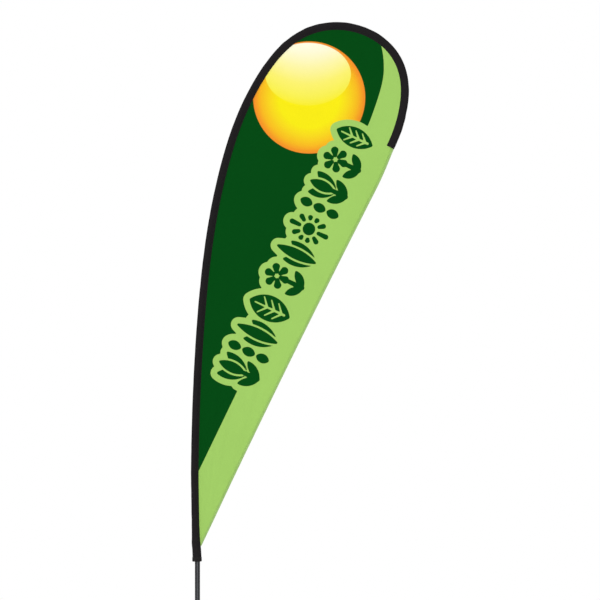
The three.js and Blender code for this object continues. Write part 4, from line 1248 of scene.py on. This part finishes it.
def addBearing(label, foot):
    # races with a ball track, an arc of a circle; the cage keeps its designed shape
    bore, radius, inside, outside = base["bore"], base["bearingRadius"], base["innerRace"], base["outerRace"]
    top = foot + base["bearingWidth"]
    turn = np.linspace(-0.9, 0.9, 7)
    dip = base["trackDepth"] * np.cos(turn)
    rise = base["trackHalf"] * np.sin(turn)
    middle = (foot + top) / 2
    inner = [(bore, foot), (inside, foot), *zip(inside - dip, middle + rise), (inside, top), (bore, top)]
    outer = [(radius, foot), (radius, top), (outside, top), *zip(outside + dip, middle - rise), (outside, foot)]
    addLathe(label + "InnerRace", inner, bearingSteel, "base", "bearing_steel", [label + "_inner_race"],
             0.0002, True)
    addLathe(label + "OuterRace", outer, bearingSteel, "rotor", "bearing_steel", [label + "_outer_race"],
             0.0002, True)
    for place in nodes[label + "_ball_cage"].material_slots:
        place.material = brass


def addBase():
    refine("upper_leg", "upperLeg", legPaint, "base", base["legRound"], 3)
    refine("lower_leg", "lowerLeg", legPaint, "folding_leg", base["legRound"], 3)
    for number in range(1, 5):
        body = "base" if number < 3 else "folding_leg"
        refine(f"foot_{number}", f"foot{number}", rubber, body, base["footRound"])
        refine(f"foot_screw_{number}", f"footScrew{number}", zincSteel, body,
               base["footScrewRound"])
    refine("pivot_bolt", "pivotBolt", zincSteel, "base", base["boltRound"])
    refine("clamp_nut", "clampNut", zincSteel, "base", base["clampNutRound"])
    refine("bearing_nut", "bearingNut", zincSteel, "base", base["bearingNutRound"])
    addLathe("centreFoot", base["centreFoot"], rubber, "base", "rubber", ["centre_foot"], 0.0006)
    addRing("legWasher", base["legWasher"], nylon, "nylon", "leg_washer")
    addRing("lockWasher", base["lockWasher"], zincSteel, "zinc_steel", "lock_washer")
    for label, foot in base["bearingFeet"].items():
        addBearing(label, foot)
    addRing("bearingSpacer", base["bearingSpacer"], zincSteel, "zinc_steel", "bearing_spacer")


addBase()
print("base made")


studio = {
    "floorRadius": 3.0,
    "floorColor": (244, 244, 243),
    "frontStrength": 1.37,  # white walls in front and behind
    "sideStrength": 0.2,
    "topStrength": 0.78,
    "keyPlace": (-3.2, -6.5, 5.5),
    "keyAim": (0.4, 0, 1.4),
    "keySize": 4.0,
    "keyPower": 196,
    "stripPlace": (0.15, -8.5, 1.5),
    "stripSize": (0.35, 3.2),
    "stripPower": 44,
    "cameraPlace": (0.4384, -12.0, 1.6096),
    "frameWidth": 2.565,  # metres across the picture, at the sail
}


def addFloor():
    # rings of points: radius times cos and sin of the turn
    rings, spokes = 24, 96
    radius = np.linspace(0.001, studio["floorRadius"], rings)[:, None]
    turn = np.linspace(0, 2 * np.pi, spokes, endpoint=False)
    grid = np.stack([radius * np.cos(turn), radius * np.sin(turn), np.full((rings, spokes), -0.0004)], -1)
    faces = gridFaces(rings, spokes, loopColumns=True).tolist() + [list(range(spokes - 1, -1, -1))]
    mesh = bpy.data.meshes.new("floor")
    mesh.from_pydata(grid.reshape(-1, 3).tolist(), [], faces)
    material, tree, shader = startMaterial("floorPaint", Roughness=0.9, Specular_IOR_Level=0.1)
    factor = placed(tree, mottle, {"Place": objectPlace(tree), "Size": 0.5, "Depth": 0.03})["Factor"]
    tree.links.new(shadedColor(tree, linear(*studio["floorColor"]), factor), shader.inputs["Base Color"])
    mesh.materials.append(material)
    floor = bpy.data.objects.new("floor", mesh)
    scene.collection.objects.link(floor)


def addWorld():
    # white walls before and behind, darker ones at the sides, and plain white behind the flag
    world = bpy.data.worlds.new("studio")
    world.use_nodes = True
    scene.world = world
    tree = world.node_tree
    tree.nodes.clear()
    way = addNode(tree, "SeparateXYZ", {0: addNode(tree, "TexCoord").outputs["Generated"]}).outputs
    level = calc(tree, "ADD", calc(tree, "MULTIPLY", way[0], way[0]), calc(tree, "MULTIPLY", way[1], way[1]))
    facing = calc(tree, "DIVIDE", calc(tree, "ABSOLUTE", way[1]), calc(tree, "SQRT", level))
    walls = ramp(tree, facing, 0.8, 0.97, studio["sideStrength"], studio["frontStrength"])
    above = ramp(tree, way[2], 0.4, 0.7)
    strength = calc(tree, "MULTIPLY_ADD", above, calc(tree, "SUBTRACT", studio["topStrength"], walls), walls)
    lit = addNode(tree, "Background", {"Color": (1, 1, 1, 1), "Strength": strength})
    seen = addNode(tree, "Background", {"Color": (1, 1, 1, 1), "Strength": 1.0})
    ray = addNode(tree, "LightPath").outputs["Is Camera Ray"]
    both = addNode(tree, "MixShader", {0: ray, 1: lit.outputs[0], 2: seen.outputs[0]})
    tree.links.new(both.outputs[0], addNode(tree, "OutputWorld").inputs["Surface"])


def addLamp(name, power, place, turned):
    data = bpy.data.lights.new(name, "AREA")
    data.energy = power
    lamp = bpy.data.objects.new(name, data)
    lamp.location, lamp.rotation_euler = place, turned
    scene.collection.objects.link(lamp)
    return data


def addLamps():
    aim = np.array(studio["keyAim"]) - np.array(studio["keyPlace"])
    tilt = math.acos(-aim[2] / np.linalg.norm(aim))
    key = addLamp("key", studio["keyPower"], studio["keyPlace"], (tilt, 0, math.atan2(-aim[0], aim[1])))
    key.size = studio["keySize"]
    strip = addLamp("strip", studio["stripPower"], studio["stripPlace"], (math.pi / 2, 0, 0))
    strip.shape = "RECTANGLE"
    strip.size, strip.size_y = studio["stripSize"]


def addCamera():
    data = bpy.data.cameras.new("camera")
    data.sensor_width = 36
    data.lens = data.sensor_width * -studio["cameraPlace"][1] / studio["frameWidth"]
    camera = bpy.data.objects.new("camera", data)
    camera.location = studio["cameraPlace"]
    camera.rotation_euler = (math.pi / 2, 0, 0)
    scene.collection.objects.link(camera)
    scene.camera = camera


addFloor()
addWorld()
addLamps()
addCamera()
scene.view_settings.view_transform = "Standard"
print("studio made")
